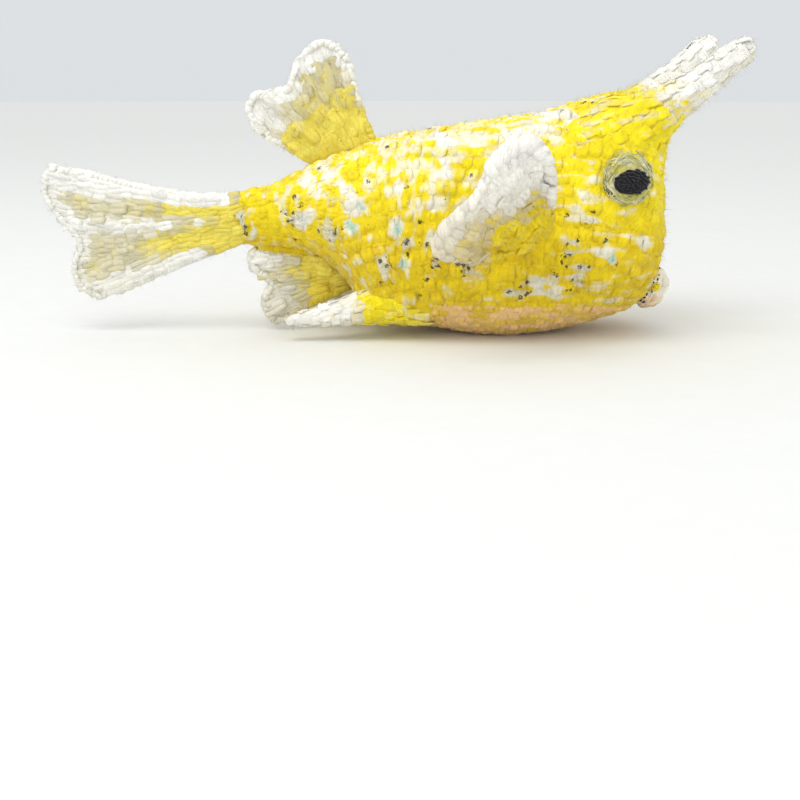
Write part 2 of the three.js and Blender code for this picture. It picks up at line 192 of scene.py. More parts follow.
MINT_SPECKS = [
    (-85.8, 38, 2.2), (-31.6, 29.4, 2), (42.5, 32.5, 1.6), (-32.3, 56.1, 1.8), (-33.7, 42.7, 2.2),
    (-21.4, 50.7, 1.8), (-48.3, 48.9, 1.8), (-50.2, 42, 2.6),
]


# Sizes and colours that can be changed


def length_setting(name, text, default, least=0.002, most=0.01):
    return bpy.props.FloatProperty(
        name=name, description=text, default=default, min=least, max=most, subtype="DISTANCE", unit="LENGTH",
    )


def colour_setting(name, text, default):
    return bpy.props.FloatVectorProperty(
        name=name, description=text, default=default, min=0, max=1, size=3, subtype="COLOR",
    )


class StitchSizes(bpy.types.PropertyGroup):
    """Sizes of the crochet"""

    row_height: length_setting("Row height", "Height of a row of single crochet", 0.0049)
    stitch_width: length_setting("Stitch width", "Width of a stitch along its row", 0.0046)
    ring_height: length_setting("Ring height", "Height of the tighter rings round the tail stalk", 0.0043)
    stitch_depth: length_setting(
        "Stitch depth", "How far a stitch stands out of the padding", 0.0015, 0.0005, 0.005
    )
    belly_stitch: length_setting(
        "Belly stitch", "Width and height of the small stitches of the belly panel", 0.0037
    )
    rim_thickness: length_setting(
        "Rim thickness", "Half thickness of the rolled rim round a fin", 0.0015, 0.0005, 0.005
    )
    fin_stitch_width: length_setting("Fin stitch width", "Width of a stitch on the fins", 0.0037)
    fin_row_height: length_setting("Fin row height", "Height of a row on the fins", 0.0043)
    fibre_length: length_setting("Fibre length", "Length of the loose wool fibres", 0.0024, 0.0005)
    fibre_spread: bpy.props.FloatProperty(
        name="Fibre density", description="Loose wool fibres in a square centimetre of yarn",
        default=12.4, min=0.0, max=60.0,
    )


class YarnColours(bpy.types.PropertyGroup):
    """Colours of the hand-dyed yarn; the mustard is partly painted shade, and the peach is painted warm bounce
    light and shade
    """

    lemon: colour_setting("Lemon", "Bright yellow of the upper body", (0.96, 0.8, 0.016))
    # Partly real deeper dye, partly painted shade of the lower flank
    mustard: colour_setting("Mustard", "Deeper yellow of the lower flank", (0.71, 0.5, 0.01))
    undyed: colour_setting("Undyed", "White wool that took no dye", (0.93, 0.92, 0.88))
    cream: colour_setting("Cream", "Warm shade of the white wool", (0.92, 0.87, 0.66))
    # Painted warm bounce light and shade on the pale wool of the belly panel
    peach_bounce: colour_setting("Peach", "Belly panel", (0.86, 0.56, 0.25))
    pink: colour_setting("Pink", "Mouth pad", (0.85, 0.58, 0.44))
    black: colour_setting("Black", "Pupils, specks and stitched lines", (0.012, 0.011, 0.014))
    mint: colour_setting("Mint", "Green flecks in the undyed spots", (0.36, 0.62, 0.5))


# Curves and skins


def profile(points):
    """Smooth curve through the points of a profile"""
    xs, ys = np.array(points, float).T
    slope = np.empty_like(xs)
    slope[1:-1] = (ys[2:] - ys[:-2]) / (xs[2:] - xs[:-2])
    slope[0] = (ys[1] - ys[0]) / (xs[1] - xs[0])
    slope[-1] = (ys[-1] - ys[-2]) / (xs[-1] - xs[-2])

    def at(x):
        x = np.asarray(x, float)
        i = np.clip(np.searchsorted(xs, x) - 1, 0, len(xs) - 2)
        width = xs[i + 1] - xs[i]
        t = np.clip((x - xs[i]) / width, 0, 1)
        rise = ys[i + 1] - ys[i]
        a = slope[i] * width - rise
        b = rise - slope[i + 1] * width
        return ys[i] + rise * t + t * (1 - t) * (a * (1 - t) + b * t)

    return at


back_at = profile(BACK)
belly_at = profile(BELLY)
half_width_at = profile(HALF_WIDTH)
seam_at = profile(SEAM)


def smooth_step(value, low, high):
    t = np.clip((np.asarray(value, float) - low) / (high - low), 0, 1)
    return t * t * (3 - 2 * t)


def signed_power(value, power):
    return np.sign(value) * np.abs(value) ** power


def mix(a, b, share):
    return a + (b - a) * share


def unit(vectors):
    length = np.linalg.norm(vectors, axis=-1, keepdims=True)
    return vectors / np.maximum(length, 1e-9)


def body_skin(x, turn, grow):
    """Points of the body's skin: x along it, turn round the section from the left side"""
    into_cap = np.maximum(0, (x - CAP_START) / (FACE_X + grow - CAP_START))
    cap = np.maximum(0, 1 - into_cap**CAP_POWER) ** (1 / CAP_POWER)
    top = back_at(x) + grow
    bottom = belly_at(x) - grow
    boxy = smooth_step(x, *BOXY)
    widest = mix(bottom, top, mix(WIDEST["stalk"], WIDEST["body"], boxy))
    upper = np.sin(turn) >= 0
    squareness = mix(1, np.where(upper, SQUARENESS["upper"], SQUARENESS["lower"]), boxy)
    across = signed_power(np.cos(turn), squareness)
    up = signed_power(np.sin(turn), squareness)
    lean = np.where(upper, 1 - LEAN_IN * boxy * up, 1)
    y = (half_width_at(x) + grow) * across * lean * cap
    z = widest + up * np.where(upper, top - widest, widest - bottom)
    z = CAP_HEIGHT + (z - CAP_HEIGHT) * cap
    z = np.maximum(z, FLOOR - grow)
    return np.stack(np.broadcast_arrays(x, y, z), -1)


class Skin:
    """A grid of points over a surface, with outward directions and a flat layout of it"""

    def __init__(self, places, closed, flip=False):
        self.places = places
        self.flip = flip
        rows, columns = places.shape[:2]
        self.triangles = grid_triangles(rows, columns, closed, flip)
        down = np.gradient(places, axis=0)
        if closed:
            across = np.roll(places, -1, 1) - np.roll(places, 1, 1)
        else:
            across = np.gradient(places, axis=1)
        self.outward = unit(np.cross(across, down)) * (-1 if flip else 1)
        i, j = np.meshgrid(np.linspace(0, 1, rows), np.linspace(0, 1, columns), indexing="ij")
        self.layout = np.stack([i, j], -1)

    def flat(self):
        """One row of numbers for each grid point: place, outward, layout"""
        count = self.places.shape[0] * self.places.shape[1]
        return np.concatenate(
            [self.places.reshape(count, 3), self.outward.reshape(count, 3), self.layout.reshape(count, 2)], 1
        )


def grid_triangles(rows, columns, closed, flip):
    wrap = columns if closed else columns - 1
    i, j = np.meshgrid(np.arange(rows - 1), np.arange(wrap), indexing="ij")
    a = (i * columns + j).ravel()
    b = (i * columns + (j + 1) % columns).ravel()
    c, d = b + columns, a + columns
    corners = np.concatenate([np.stack([a, b, c], 1), np.stack([a, c, d], 1)])
    return corners[:, ::-1] if flip else corners


def level_lines(skin, field, level):
    """Lines on the skin where the field has this level, with the higher side on their left"""
    values = field.ravel()
    corners = skin.triangles
    high = values[corners] > level
    count = high.sum(1)
    following = {}
    for lone_is_high in (True, False):
        cut = np.nonzero(count == (1 if lone_is_high else 2))[0]
        lone = np.argmax(high[cut] == lone_is_high, axis=1)
        a = corners[cut, lone]
        b = corners[cut, (lone + 1) % 3]
        c = corners[cut, (lone + 2) % 3]
        first, last = (b, c) if lone_is_high else (c, b)
        for p, q, r in zip(a.tolist(), first.tolist(), last.tolist()):
            following[(min(p, q), max(p, q))] = (min(p, r), max(p, r))
    numbers = skin.flat()
    reached = set(following.values())
    lines = []
    for start in [edge for edge in following if edge not in reached] + list(following):
        edges = []
        while start in following:
            edges.append(start)
            start = following.pop(start)
        if edges:
            edges.append(start)
            p, q = np.array(edges).T
            share = (level - values[p]) / (values[q] - values[p])
            lines.append(mix(numbers[p], numbers[q], share[:, None]))
    return lines


def evenly_along(line, pitch, phase=0.0, step=0.8):
    """Even places along a line, with the direction it runs in there and the length between them"""
    gaps = np.linalg.norm(np.diff(line[:, :3], axis=0), axis=1)
    keep = np.concatenate([[True], gaps > 1e-5])
    line = line[keep]
    reach = np.concatenate([[0], np.cumsum(gaps[keep[1:]])])
    count = int(round(reach[-1] / pitch)) if len(line) > 1 else 0
    if count < 1:
        return None
    width = reach[-1] / count
    at = (np.arange(count) + 0.5 + phase) * width
    closed = np.linalg.norm(line[0, :3] - line[-1, :3]) < 0.5
    if closed:
        at = at % reach[-1]
    at = np.clip(at, 0, reach[-1])

    def sample(where):
        where = where % reach[-1] if closed else np.clip(where, 0, reach[-1])
        return np.stack([np.interp(where, reach, column) for column in line.T], 1)

    values = sample(at)
    along = unit(sample(at + step)[:, :3] - sample(at - step)[:, :3])
    return values, along, np.full(count, width)


def skin_distance(places, start):
    """Shortest way over a skin that is closed round its second direction, from where start is set"""
    distance = start.copy()
    reach = 3
    steps = [
        (a, b) for a in range(-reach, reach + 1) for b in range(-reach, reach + 1) if math.gcd(a, b) == 1
    ]
    lengths = []
    for a, b in steps:
        length = np.linalg.norm(places - np.roll(places, (a, b), (0, 1)), axis=-1)
        if a > 0:
            length[:a] = np.inf
        elif a < 0:
            length[a:] = np.inf
        lengths.append(length)
    for _ in range(400):
        before = distance.copy()
        for (a, b), length in zip(steps, lengths):
            np.minimum(distance, np.roll(distance, (a, b), (0, 1)) + length, out=distance)
        distance[-1] = distance[-1].min()
        if np.nanmax(np.where(np.isfinite(before), before - distance, 1.0)) < 1e-3:
            break
    return distance


# Meshes


def new_object(name, mesh):
    piece = bpy.data.objects.new(name, mesh)
    bpy.context.scene.collection.objects.link(piece)
    return piece


def mesh_of(name, places, faces):
    mesh = bpy.data.meshes.new(name)
    mesh.from_pydata((np.asarray(places, float) * MM).tolist(), [], [list(map(int, face)) for face in faces])
    mesh.update()
    mesh.shade_smooth()
    return mesh


def grid_faces(rows, columns, closed, first=0, flip=False):
    """Four-sided faces of a grid of points"""
    faces = []
    wrap = columns if closed else columns - 1
    for i in range(rows - 1):
        for j in range(wrap):
            a = first + i * columns + j
            b = first + i * columns + (j + 1) % columns
            face = (a, b, b + columns, a + columns)
            faces.append(face[::-1] if flip else face)
    return faces


def skin_mesh(name, skin, lift=0.0):
    """A closed mesh of a skin whose rows are rings, with a middle point at each end"""
    rows, columns = skin.places.shape[:2]
    raised = skin.places + lift * skin.outward
    places = list(raised.reshape(-1, 3))
    faces = grid_faces(rows, columns, True, 0, skin.flip)
    last = (rows - 1) * columns
    for start, turned in ((0, not skin.flip), (last, skin.flip)):
        places.append(np.mean(raised[0 if start == 0 else -1], axis=0))
        middle = len(places) - 1
        for j in range(columns):
            face = (start + j, start + (j + 1) % columns, middle)
            faces.append(face[::-1] if turned else face)
    mesh = mesh_of(name, places, faces)
    layout = np.concatenate([skin.layout.reshape(-1, 2), [[0, 0.5], [1, 0.5]]])
    set_layout(mesh, layout)
    return mesh


def corner_points(mesh):
    """The point at each corner of the faces"""
    corners = np.empty(len(mesh.loops), int)
    mesh.loops.foreach_get("vertex_index", corners)
    return corners


def add_layout(mesh, name, uv):
    layer = mesh.uv_layers.new(name=name)
    layer.data.foreach_set("uv", np.asarray(uv, np.float32).ravel())


def set_layout(mesh, by_point, round_skin=True):
    """The strand layout from one place for each point, on a round skin unbroken across the first column"""
    uv = by_point[corner_points(mesh)]
    if round_skin:
        for face in mesh.polygons:
            part = uv[face.loop_start : face.loop_start + face.loop_total, 1]
            if part.max() - part.min() > 0.6:
                part[part < 0.3] += 1.0
    add_layout(mesh, "yarn", uv)


def set_numbers(mesh, **named_values):
    """Named attributes with a number or a direction for each point, or one number for all of them"""
    for name, values in named_values.items():
        values = np.asarray(values, np.float32)
        if values.ndim == 0:
            values = np.full(len(mesh.vertices), values)
        kind, part = ("FLOAT_VECTOR", "vector") if values.ndim == 2 else ("FLOAT", "value")
        mesh.attributes.new(name, kind, "POINT").data.foreach_set(part, values.ravel())


def drop_numbers(mesh, *names):
    for name in names:
        if name in mesh.attributes:
            mesh.attributes.remove(mesh.attributes[name])


def get_numbers(mesh, name, width):
    values = np.empty(len(mesh.vertices) * width, np.float32)
    mesh.attributes[name].data.foreach_get("vector" if width == 3 else "value", values)
    return values.reshape(-1, width) if width > 1 else values


def point_places(mesh):
    places = np.empty(len(mesh.vertices) * 3, np.float32)
    mesh.vertices.foreach_get("co", places)
    return places.reshape(-1, 3).astype(float) / MM


def tube(path, wide, deep, sideways, outward, sides, layout_from=0.0, layout_to=1.0):
    """Points, faces and strand layout of a closed yarn strand along a path"""
    places, faces, layouts = [], [], []
    turns = np.linspace(0, 2 * math.pi, sides, endpoint=False)
    for i, centre in enumerate(path):
        for turn in turns:
            places.append(centre + sideways[i] * wide[i] * math.cos(turn) + outward[i] * deep[i] * math.sin(turn))
    rings = len(path)
    share = [mix(layout_from, layout_to, i / (rings - 1)) for i in range(rings)]
    for i in range(rings - 1):
        for j in range(sides):
            a, b = i * sides + j, i * sides + (j + 1) % sides
            faces.append((a, a + sides, b + sides, b))
            low, high = j / sides, (j + 1) / sides
            layouts.append(((share[i], low), (share[i + 1], low), (share[i + 1], high), (share[i], high)))
    faces.append(tuple(range(sides)))
    layouts.append(tuple((share[0], 0.5) for _ in range(sides)))
    faces.append(tuple(reversed(range((rings - 1) * sides, rings * sides))))
    layouts.append(tuple((share[-1], 0.5) for _ in range(sides)))
    return places, faces, layouts


def strand_mesh(name, parts, scale=1.0):
    """Several strands as one mesh"""
    places, faces, layouts = [], [], []
    for part_places, part_faces, part_layouts in parts:
        first = len(places)
        places.extend(part_places)
        faces.extend(tuple(first + k for k in face) for face in part_faces)
        layouts.extend(part_layouts)
    mesh = mesh_of(name, np.array(places) * scale, faces)
    add_layout(mesh, "yarn", [place for corners in layouts for place in corners])
    return mesh


# Stitches

STITCH_SIDES = 7
LEG_RINGS = 5
STITCH_KINDS = 5
BAKE_PATCH = 0.003


def legs(draw, spread, lean, reach, low, rise, wide, deep, taper):
    """Two plump legs of yarn in a V, for a stitch one wide, one tall and one deep"""
    parts = []
    share = 0.5 - 0.5 * np.cos(math.pi * np.linspace(0, 1, LEG_RINGS))
    swell = np.sin(math.pi * np.linspace(0, 1, LEG_RINGS))
    ones = np.ones(LEG_RINGS)
    sideways = np.stack([ones, 0 * ones, 0 * ones], 1)
    outward = np.stack([0 * ones, 0 * ones, ones], 1)
    for side in (-1, 1):
        x = side * (spread + (lean + 0.05 * draw.uniform(-1, 1)) * share + 0.03 * swell)
        y = reach * (2 * share - 1) + 0.05 * draw.uniform(-1, 1)
        z = low + rise * (1 + 0.25 * draw.uniform(-1, 1)) * swell
        full = taper + (1 - taper) * swell
        parts.append(
            tube(
                np.stack([x, y, z], 1), wide * full * draw.uniform(0.92, 1.1), deep * full, sideways, outward,
                STITCH_SIDES,
            )
        )
    return parts


def crochet_stitch(draw):
    """A single crochet stitch: two plump legs, and between the rows the low bar of yarn over them"""
    run = np.linspace(-1, 1, 5)
    slope = 0.1 * draw.uniform(-1, 1)
    bow = np.sqrt(1 - (0.9 * run) ** 2)
    path = np.stack([0.6 * run, 0.46 + 0.05 * bow + slope * run, -0.3 + 0.16 * bow], 1)
    sideways = np.tile([0, 1.0, 0], (5, 1))
    outward = np.tile([0, 0, 1.0], (5, 1))
    bar = tube(path, 0.12 + 0.1 * bow, 0.3 + 0.2 * bow, -sideways, outward, 6)
    return legs(draw, 0.13, 0.07, 0.6, -0.3, 0.48, 0.37, 0.6, 0.3) + [bar]


def ray_stitch(draw):
    """A flatter stitch that runs on into the next one, for the fins and horns"""
    return legs(draw, 0.17, 0.1, 0.7, -0.2, 0.36, 0.3, 0.62, 0.74)


def rim_stitch(draw):
    """A strand laid over the rim of a fin, one wide, with the rim's half thickness as one"""
    rings = 7
    angle = np.linspace(-1.95, 1.95, rings)
    slant = 0.4 + 0.15 * draw.uniform(-1, 1)
    path = np.stack([slant * np.sin(angle), np.sin(angle), np.cos(angle)], 1)
    outward = np.stack([0 * angle, np.sin(angle), np.cos(angle)], 1)
    sideways = np.tile([1.0, 0, 0], (rings, 1))
    swell = 0.55 + 0.45 * np.sin(math.pi * np.linspace(0, 1, rings)) ** 0.5
    wide = 0.86 * swell * draw.uniform(0.9, 1.1)
    deep = 0.52 * swell
    return [tube(path, wide, deep, sideways, outward, STITCH_SIDES)]


def loose_fibre(draw):
    """A thin curved wool fibre, one long, with a round bend"""
    rings = 4
    share = np.linspace(0, 1, rings)
    bend = draw.uniform(0.2, 0.9)
    path = np.stack([bend * share**1.6, 0.3 * draw.uniform(-1, 1) * share, share * (1 - 0.35 * bend * share)], 1)
    wide = 0.021 * (1 - 0.7 * share)
    sideways = np.tile([0.0, 1.0, 0.0], (rings, 1))
    outward = np.tile([1.0, 0.0, 0.0], (rings, 1))
    return [tube(path, wide, wide, sideways, outward, 3)]


def shape_set(name, make, seed):
    """A collection of the kinds of one shape, out of sight, for the nodes to pick from"""
    draw = np.random.default_rng(seed)
    group = bpy.data.collections.new(name)
    for kind in range(STITCH_KINDS):
        mesh = strand_mesh(f"{name}_{kind}", make(draw), 1 / MM)
        group.objects.link(bpy.data.objects.new(f"{name}_{kind}", mesh))
    return group


def drop_shape_set(group):
    for item in list(group.objects):
        bpy.data.objects.remove(item)
    bpy.data.collections.remove(group)


def set_inputs(tree, node, inputs):
    """Links inputs of a node to sockets, or sets them to values"""
    for key, value in dict(inputs).items():
        if isinstance(value, bpy.types.NodeSocket):
            tree.links.new(value, node.inputs[key])
        else:
            node.inputs[key].default_value = value


def add_node(tree, kind, inputs=(), **settings):
    node = tree.nodes.new(kind)
    for name, value in settings.items():
        setattr(node, name, value)
    set_inputs(tree, node, inputs)
    return node


def math_node(tree, operation, *values, clamp=False):
    """A sum with numbers or sockets"""
    return add_node(tree, "ShaderNodeMath", enumerate(values), operation=operation, use_clamp=clamp).outputs[0]


def named(tree, name):
    """A direction or a size that the points carry"""
    node = add_node(tree, "GeometryNodeInputNamedAttribute", {"Name": name}, data_type="FLOAT_VECTOR")
    return node.outputs["Attribute"]


def placing_nodes(tree, points, given):
    """Nodes that set the shapes on the points, turned and sized as the points say"""
    align, random, vector = "FunctionNodeAlignRotationToVector", "FunctionNodeRandomValue", "ShaderNodeVectorMath"
    upright = add_node(tree, align, {"Vector": named(tree, "outward")}, axis="Z")
    inputs = {"Rotation": upright.outputs["Rotation"], "Vector": named(tree, "along")}
    facing = add_node(tree, align, inputs, axis="X", pivot_axis="Z")
    inputs = {0: (-1, -1, -1), 1: (1, 1, 1), "Seed": given["Seed"]}
    swing = add_node(tree, random, inputs, data_type="FLOAT_VECTOR")
    sway = add_node(tree, vector, {0: swing.outputs[0], "Scale": given["Sway"]}, operation="SCALE")
    turn = add_node(tree, "FunctionNodeEulerToRotation", {0: sway.outputs[0]})
    inputs = {"Rotation": facing.outputs["Rotation"], "Rotate By": turn.outputs[0]}
    turned = add_node(tree, "FunctionNodeRotateRotation", inputs, rotation_space="LOCAL")
    inputs = {
        0: math_node(tree, "SUBTRACT", 1.0, given["Unevenness"]),
        1: math_node(tree, "ADD", 1.0, given["Unevenness"]),
        "Seed": math_node(tree, "ADD", given["Seed"], 11),
    }
    vary = add_node(tree, random, inputs, data_type="FLOAT_VECTOR")
    size = add_node(tree, vector, {0: named(tree, "size"), 1: vary.outputs[0]}, operation="MULTIPLY")
    pick = add_node(tree, random, {4: 0, 5: STITCH_KINDS - 1, "Seed": given["Seed"]}, data_type="INT")
    inputs = {"Separate Children": True, "Reset Children": True, "Collection": given["Shapes"]}
    shapes = add_node(tree, "GeometryNodeCollectionInfo", inputs)
    inputs = {
        "Pick Instance": True, "Points": points, "Instance": shapes.outputs["Instances"],
        "Instance Index": pick.outputs[2], "Rotation": turned.outputs["Rotation"], "Scale": size.outputs[0],
    }
    place = add_node(tree, "GeometryNodeInstanceOnPoints", inputs)
    realize = add_node(tree, "GeometryNodeRealizeInstances", {0: place.outputs["Instances"]})
    inputs = {"Geometry": realize.outputs[0], "Material": given["Yarn"]}
    paint = add_node(tree, "GeometryNodeSetMaterial", inputs)
    add_node(tree, "NodeGroupOutput", {0: paint.outputs[0]})


def placing_tree(name, *more_inputs):
    """A new tree with the inputs that both placing trees have, and more of its own"""
    tree = bpy.data.node_groups.new(name, "GeometryNodeTree")
    tree.interface.new_socket("Geometry", in_out="OUTPUT", socket_type="NodeSocketGeometry")
    for label, kind, default in (
        ("Geometry", "Geometry", None), ("Shapes", "Collection", None), ("Yarn", "Material", None),
        ("Seed", "Int", 0), ("Sway", "Float", 0.08), ("Unevenness", "Float", 0.08), *more_inputs,
    ):
        socket = tree.interface.new_socket(label, in_out="INPUT", socket_type=f"NodeSocket{kind}")
        if default is not None:
            socket.default_value = default
    return tree, tree.nodes.new("NodeGroupInput").outputs


def row_tree():
    """Node tree that sets a stitch on every point of the rows"""
    name = "Rows of stitches"
    if name not in bpy.data.node_groups:
        tree, given = placing_tree(name)
        placing_nodes(tree, given["Geometry"], given)
    return bpy.data.node_groups[name]


def fibre_tree():
    """Node tree that scatters loose fibres over a piece of yarn"""
    name = "Loose fibres"
    if name in bpy.data.node_groups:
        return bpy.data.node_groups[name]
    tree, given = placing_tree(name, ("Density", "Float", 60000.0), ("Length", "Float", 0.002))
    inputs = {"Mesh": given["Geometry"], "Density": given["Density"], "Seed": given["Seed"]}
    scatter = add_node(tree, "GeometryNodeDistributePointsOnFaces", inputs)
    along = add_node(tree, "FunctionNodeRandomValue", {0: (-1, -1, -1)}, data_type="FLOAT_VECTOR")
    length = add_node(tree, "ShaderNodeCombineXYZ", dict.fromkeys(range(3), given["Length"]))
    points = scatter.outputs["Points"]
    for label, value in (
        ("outward", scatter.outputs["Normal"]), ("along", along.outputs[0]), ("size", length.outputs[0]),
    ):
        inputs = {"Name": label, "Geometry": points, "Value": value}
        store = add_node(tree, "GeometryNodeStoreNamedAttribute", inputs, data_type="FLOAT_VECTOR")
        points = store.outputs["Geometry"]
    placing_nodes(tree, points, given)
    return tree


def grown(mesh, tree, values):
    """The mesh that a tree makes of a mesh, as a plain mesh"""
    holder = new_object("yarn_holder", mesh)
    modifier = holder.modifiers.new("Rows", "NODES")
    modifier.node_group = tree
    for item in tree.interface.items_tree:
        if item.in_out == "INPUT" and item.name in values:
            modifier[item.identifier] = values[item.name]
    graph = bpy.context.evaluated_depsgraph_get()
    made = bpy.data.meshes.new_from_object(
        holder.evaluated_get(graph), preserve_all_data_layers=True, depsgraph=graph
    )
    holder.modifiers.remove(modifier)
    bpy.data.objects.remove(holder)
    bpy.data.meshes.remove(mesh)
    return made


class Rows:
    """Stitches collected row by row: places, directions, sizes, layout and dye"""

    def __init__(self):
        self.parts = []

    def add(self, values, along, width, height, depth, dye=0.0):
        count = len(values)
        size = np.stack([np.broadcast_to(n, count) for n in (width, height, depth)], 1)
        dyes = np.broadcast_to(dye, count)
        self.parts.append(np.concatenate([values, along, size, dyes[:, None]], 1))

    def table(self):
        return np.concatenate(self.parts) if self.parts else np.empty((0, 15))

    def lift(self, lift):
        """Moves the stitches outward by the lift of their places and tilts them with the raised skin"""
        for part in self.parts:
            places, outward, along = part[:, :3].copy(), part[:, 3:6].copy(), part[:, 8:11]
            tilted = outward.copy()
            for way in (along, np.cross(outward, along)):
                tilted -= (lift(places + 0.5 * way) - lift(places - 0.5 * way)) * way
            part[:, :3] += lift(places) * outward
            part[:, 3:6] = unit(tilted)

    def keep(self, test):
        """Drops the stitches for which the test of their places says no"""
        self.parts = [part[test(part[:, :3])] for part in self.parts]


PLACE, OUTWARD, LAYOUT, ALONG, SIZE = slice(0, 3), slice(3, 6), slice(6, 8), slice(8, 11), slice(11, 14)
DYE = 14


def work_rows(name, rows, shape, yarn, seed, sway=0.18, unevenness=0.15, spotted=False):
    """Crochets the collected rows as one mesh piece"""
    table = rows.table()
    points = mesh_of("row_points", table[:, PLACE], [])
    set_numbers(
        points, outward=table[:, OUTWARD], along=table[:, ALONG], size=table[:, SIZE] * MM, dye=table[:, DYE],
        tone=np.random.default_rng(seed).random(len(table)),
        root_layout=np.concatenate([table[:, LAYOUT], np.zeros((len(table), 1))], 1),
    )
    values = {
        "Shapes": SHAPES[shape], "Yarn": YARNS[yarn], "Seed": SEED + seed, "Sway": sway, "Unevenness": unevenness,
    }
    mesh = grown(points, row_tree(), values)
    finish_yarn(mesh, spotted)
    mesh.name = name
    settle(new_object(name, mesh), yarn)


def finish_yarn(mesh, spotted):
    """Dye spots, the baking layout and the flattened underside of a piece of yarn"""
    places = point_places(mesh)
    places[:, 2] = np.maximum(places[:, 2], FLOOR)
    mesh.vertices.foreach_set("co", (places * MM).astype(np.float32).ravel())
    set_spots(mesh, places, spotted)
    set_bake_layout(mesh)
    mesh.shade_smooth()
    drop_numbers(mesh, "outward", "along", "size")


def set_bake_layout(mesh):
    """A small patch for each stitch, at its root's place on the layout of the skin under it"""
    root = get_numbers(mesh, "root_layout", 3)[:, :2]
    strand = np.empty(len(mesh.loops) * 2, np.float32)
    mesh.uv_layers["yarn"].data.foreach_get("uv", strand)
    local = strand.reshape(-1, 2) % 1.0
    add_layout(mesh, "OFBake", 0.01 + 0.98 * root[corner_points(mesh)] + BAKE_PATCH * (local - 0.5))


def set_spots(mesh, places, spotted):
    """Black and mint flecks and the undyed wool round them, or none"""
    if not spotted:
        set_numbers(mesh, speck=0, mint=0)
        return
    speck, mint = spot_share(places, BLACK_SPECKS), spot_share(places, MINT_SPECKS)
    set_numbers(mesh, speck=speck, mint=mint)
    dye = np.maximum(get_numbers(mesh, "dye", 1), 0.88 * spot_share(places, UNDYED_SPOTS, 2.8))
    dye = np.maximum(dye, np.maximum(0.46 * speck, 0.8 * mint))
    mesh.attributes["dye"].data.foreach_set("value", dye.astype(np.float32))


def ripple(places, pitch, seed):
    """Smooth noise over the places, mostly from -1 to 1, with its waves about this far apart"""
    draw = np.random.default_rng(seed)
    total = np.zeros(len(places))
    waves = 9
    for _ in range(waves):
        way = unit(draw.normal(size=3)) * 2 * math.pi / (pitch * draw.uniform(0.7, 1.5))
        total += np.sin(places @ way + draw.uniform(0, 2 * math.pi))
    return total / math.sqrt(waves)


def spot_share(places, spots, soft=1.2):
    """How far inside a dye spot each place is, 0 to 1; the left side has the spots a little shifted"""
    side_shift = np.where(places[:, 1] > 0, 1.0, 0.0)
    x_at = places[:, 0] + SPOT_RAGGED * ripple(places, 7.0, SEED + 1)
    z_at = places[:, 2] + SPOT_RAGGED * ripple(places, 7.0, SEED + 2)
    drawn_out = 1 + 0.8 * smooth_step(places[:, 2], 68, 76)
    share = np.zeros(len(places))
    for i, (x, z, radius) in enumerate(spots):
        dx = (x_at - x - side_shift * 6.0 * math.sin(2.3 * i)) / drawn_out
        dz = (z_at - z - side_shift * 5.0 * math.cos(1.7 * i)) * drawn_out
        share = np.maximum(share, smooth_step(radius + soft - np.hypot(dx, dz), 0, 2 * soft))
    return share


# Materials


def node_group(name, inputs, outputs):
    tree = bpy.data.node_groups.new(name, "ShaderNodeTree")
    for label, kind, default in inputs:
        socket = tree.interface.new_socket(label, in_out="INPUT", socket_type=kind)
        socket.default_value = default
    for label, kind in outputs:
        tree.interface.new_socket(label, in_out="OUTPUT", socket_type=kind)
    return tree, tree.nodes.new("NodeGroupInput"), tree.nodes.new("NodeGroupOutput")


def noise_node(tree, vector, scale, detail=2.0, roughness=0.5):
    inputs = {"Detail": detail, "Roughness": roughness, "Vector": vector, "Scale": scale}
    return add_node(tree, "ShaderNodeTexNoise", inputs).outputs["Fac"]


def step_node(tree, value, low, high, to_low=0.0, to_high=1.0):
    inputs = {"Value": value, "From Min": low, "From Max": high, "To Min": to_low, "To Max": to_high}
    return add_node(tree, "ShaderNodeMapRange", inputs, interpolation_type="SMOOTHSTEP").outputs["Result"]


def scaled(tree, vector, factors):
    return add_node(tree, "ShaderNodeVectorMath", {0: vector, 1: factors}, operation="MULTIPLY").outputs[0]


def shaken(tree, vector, scale, reach):
    """The places moved a little by noise, so that round patterns come out ragged"""
    noise = add_node(tree, "ShaderNodeTexNoise", {"Scale": scale, "Vector": vector})
    inputs = {0: noise.outputs["Color"], 1: (reach, reach, reach), 2: vector}
    return add_node(tree, "ShaderNodeVectorMath", inputs, operation="MULTIPLY_ADD").outputs[0]


def mix_colours(tree, share, a, b):
    return add_node(tree, "ShaderNodeMix", {"Factor": share, 6: a, 7: b}, data_type="RGBA").outputs[2]


def attribute(tree, name):
    return add_node(tree, "ShaderNodeAttribute", attribute_name=name).outputs["Fac"]


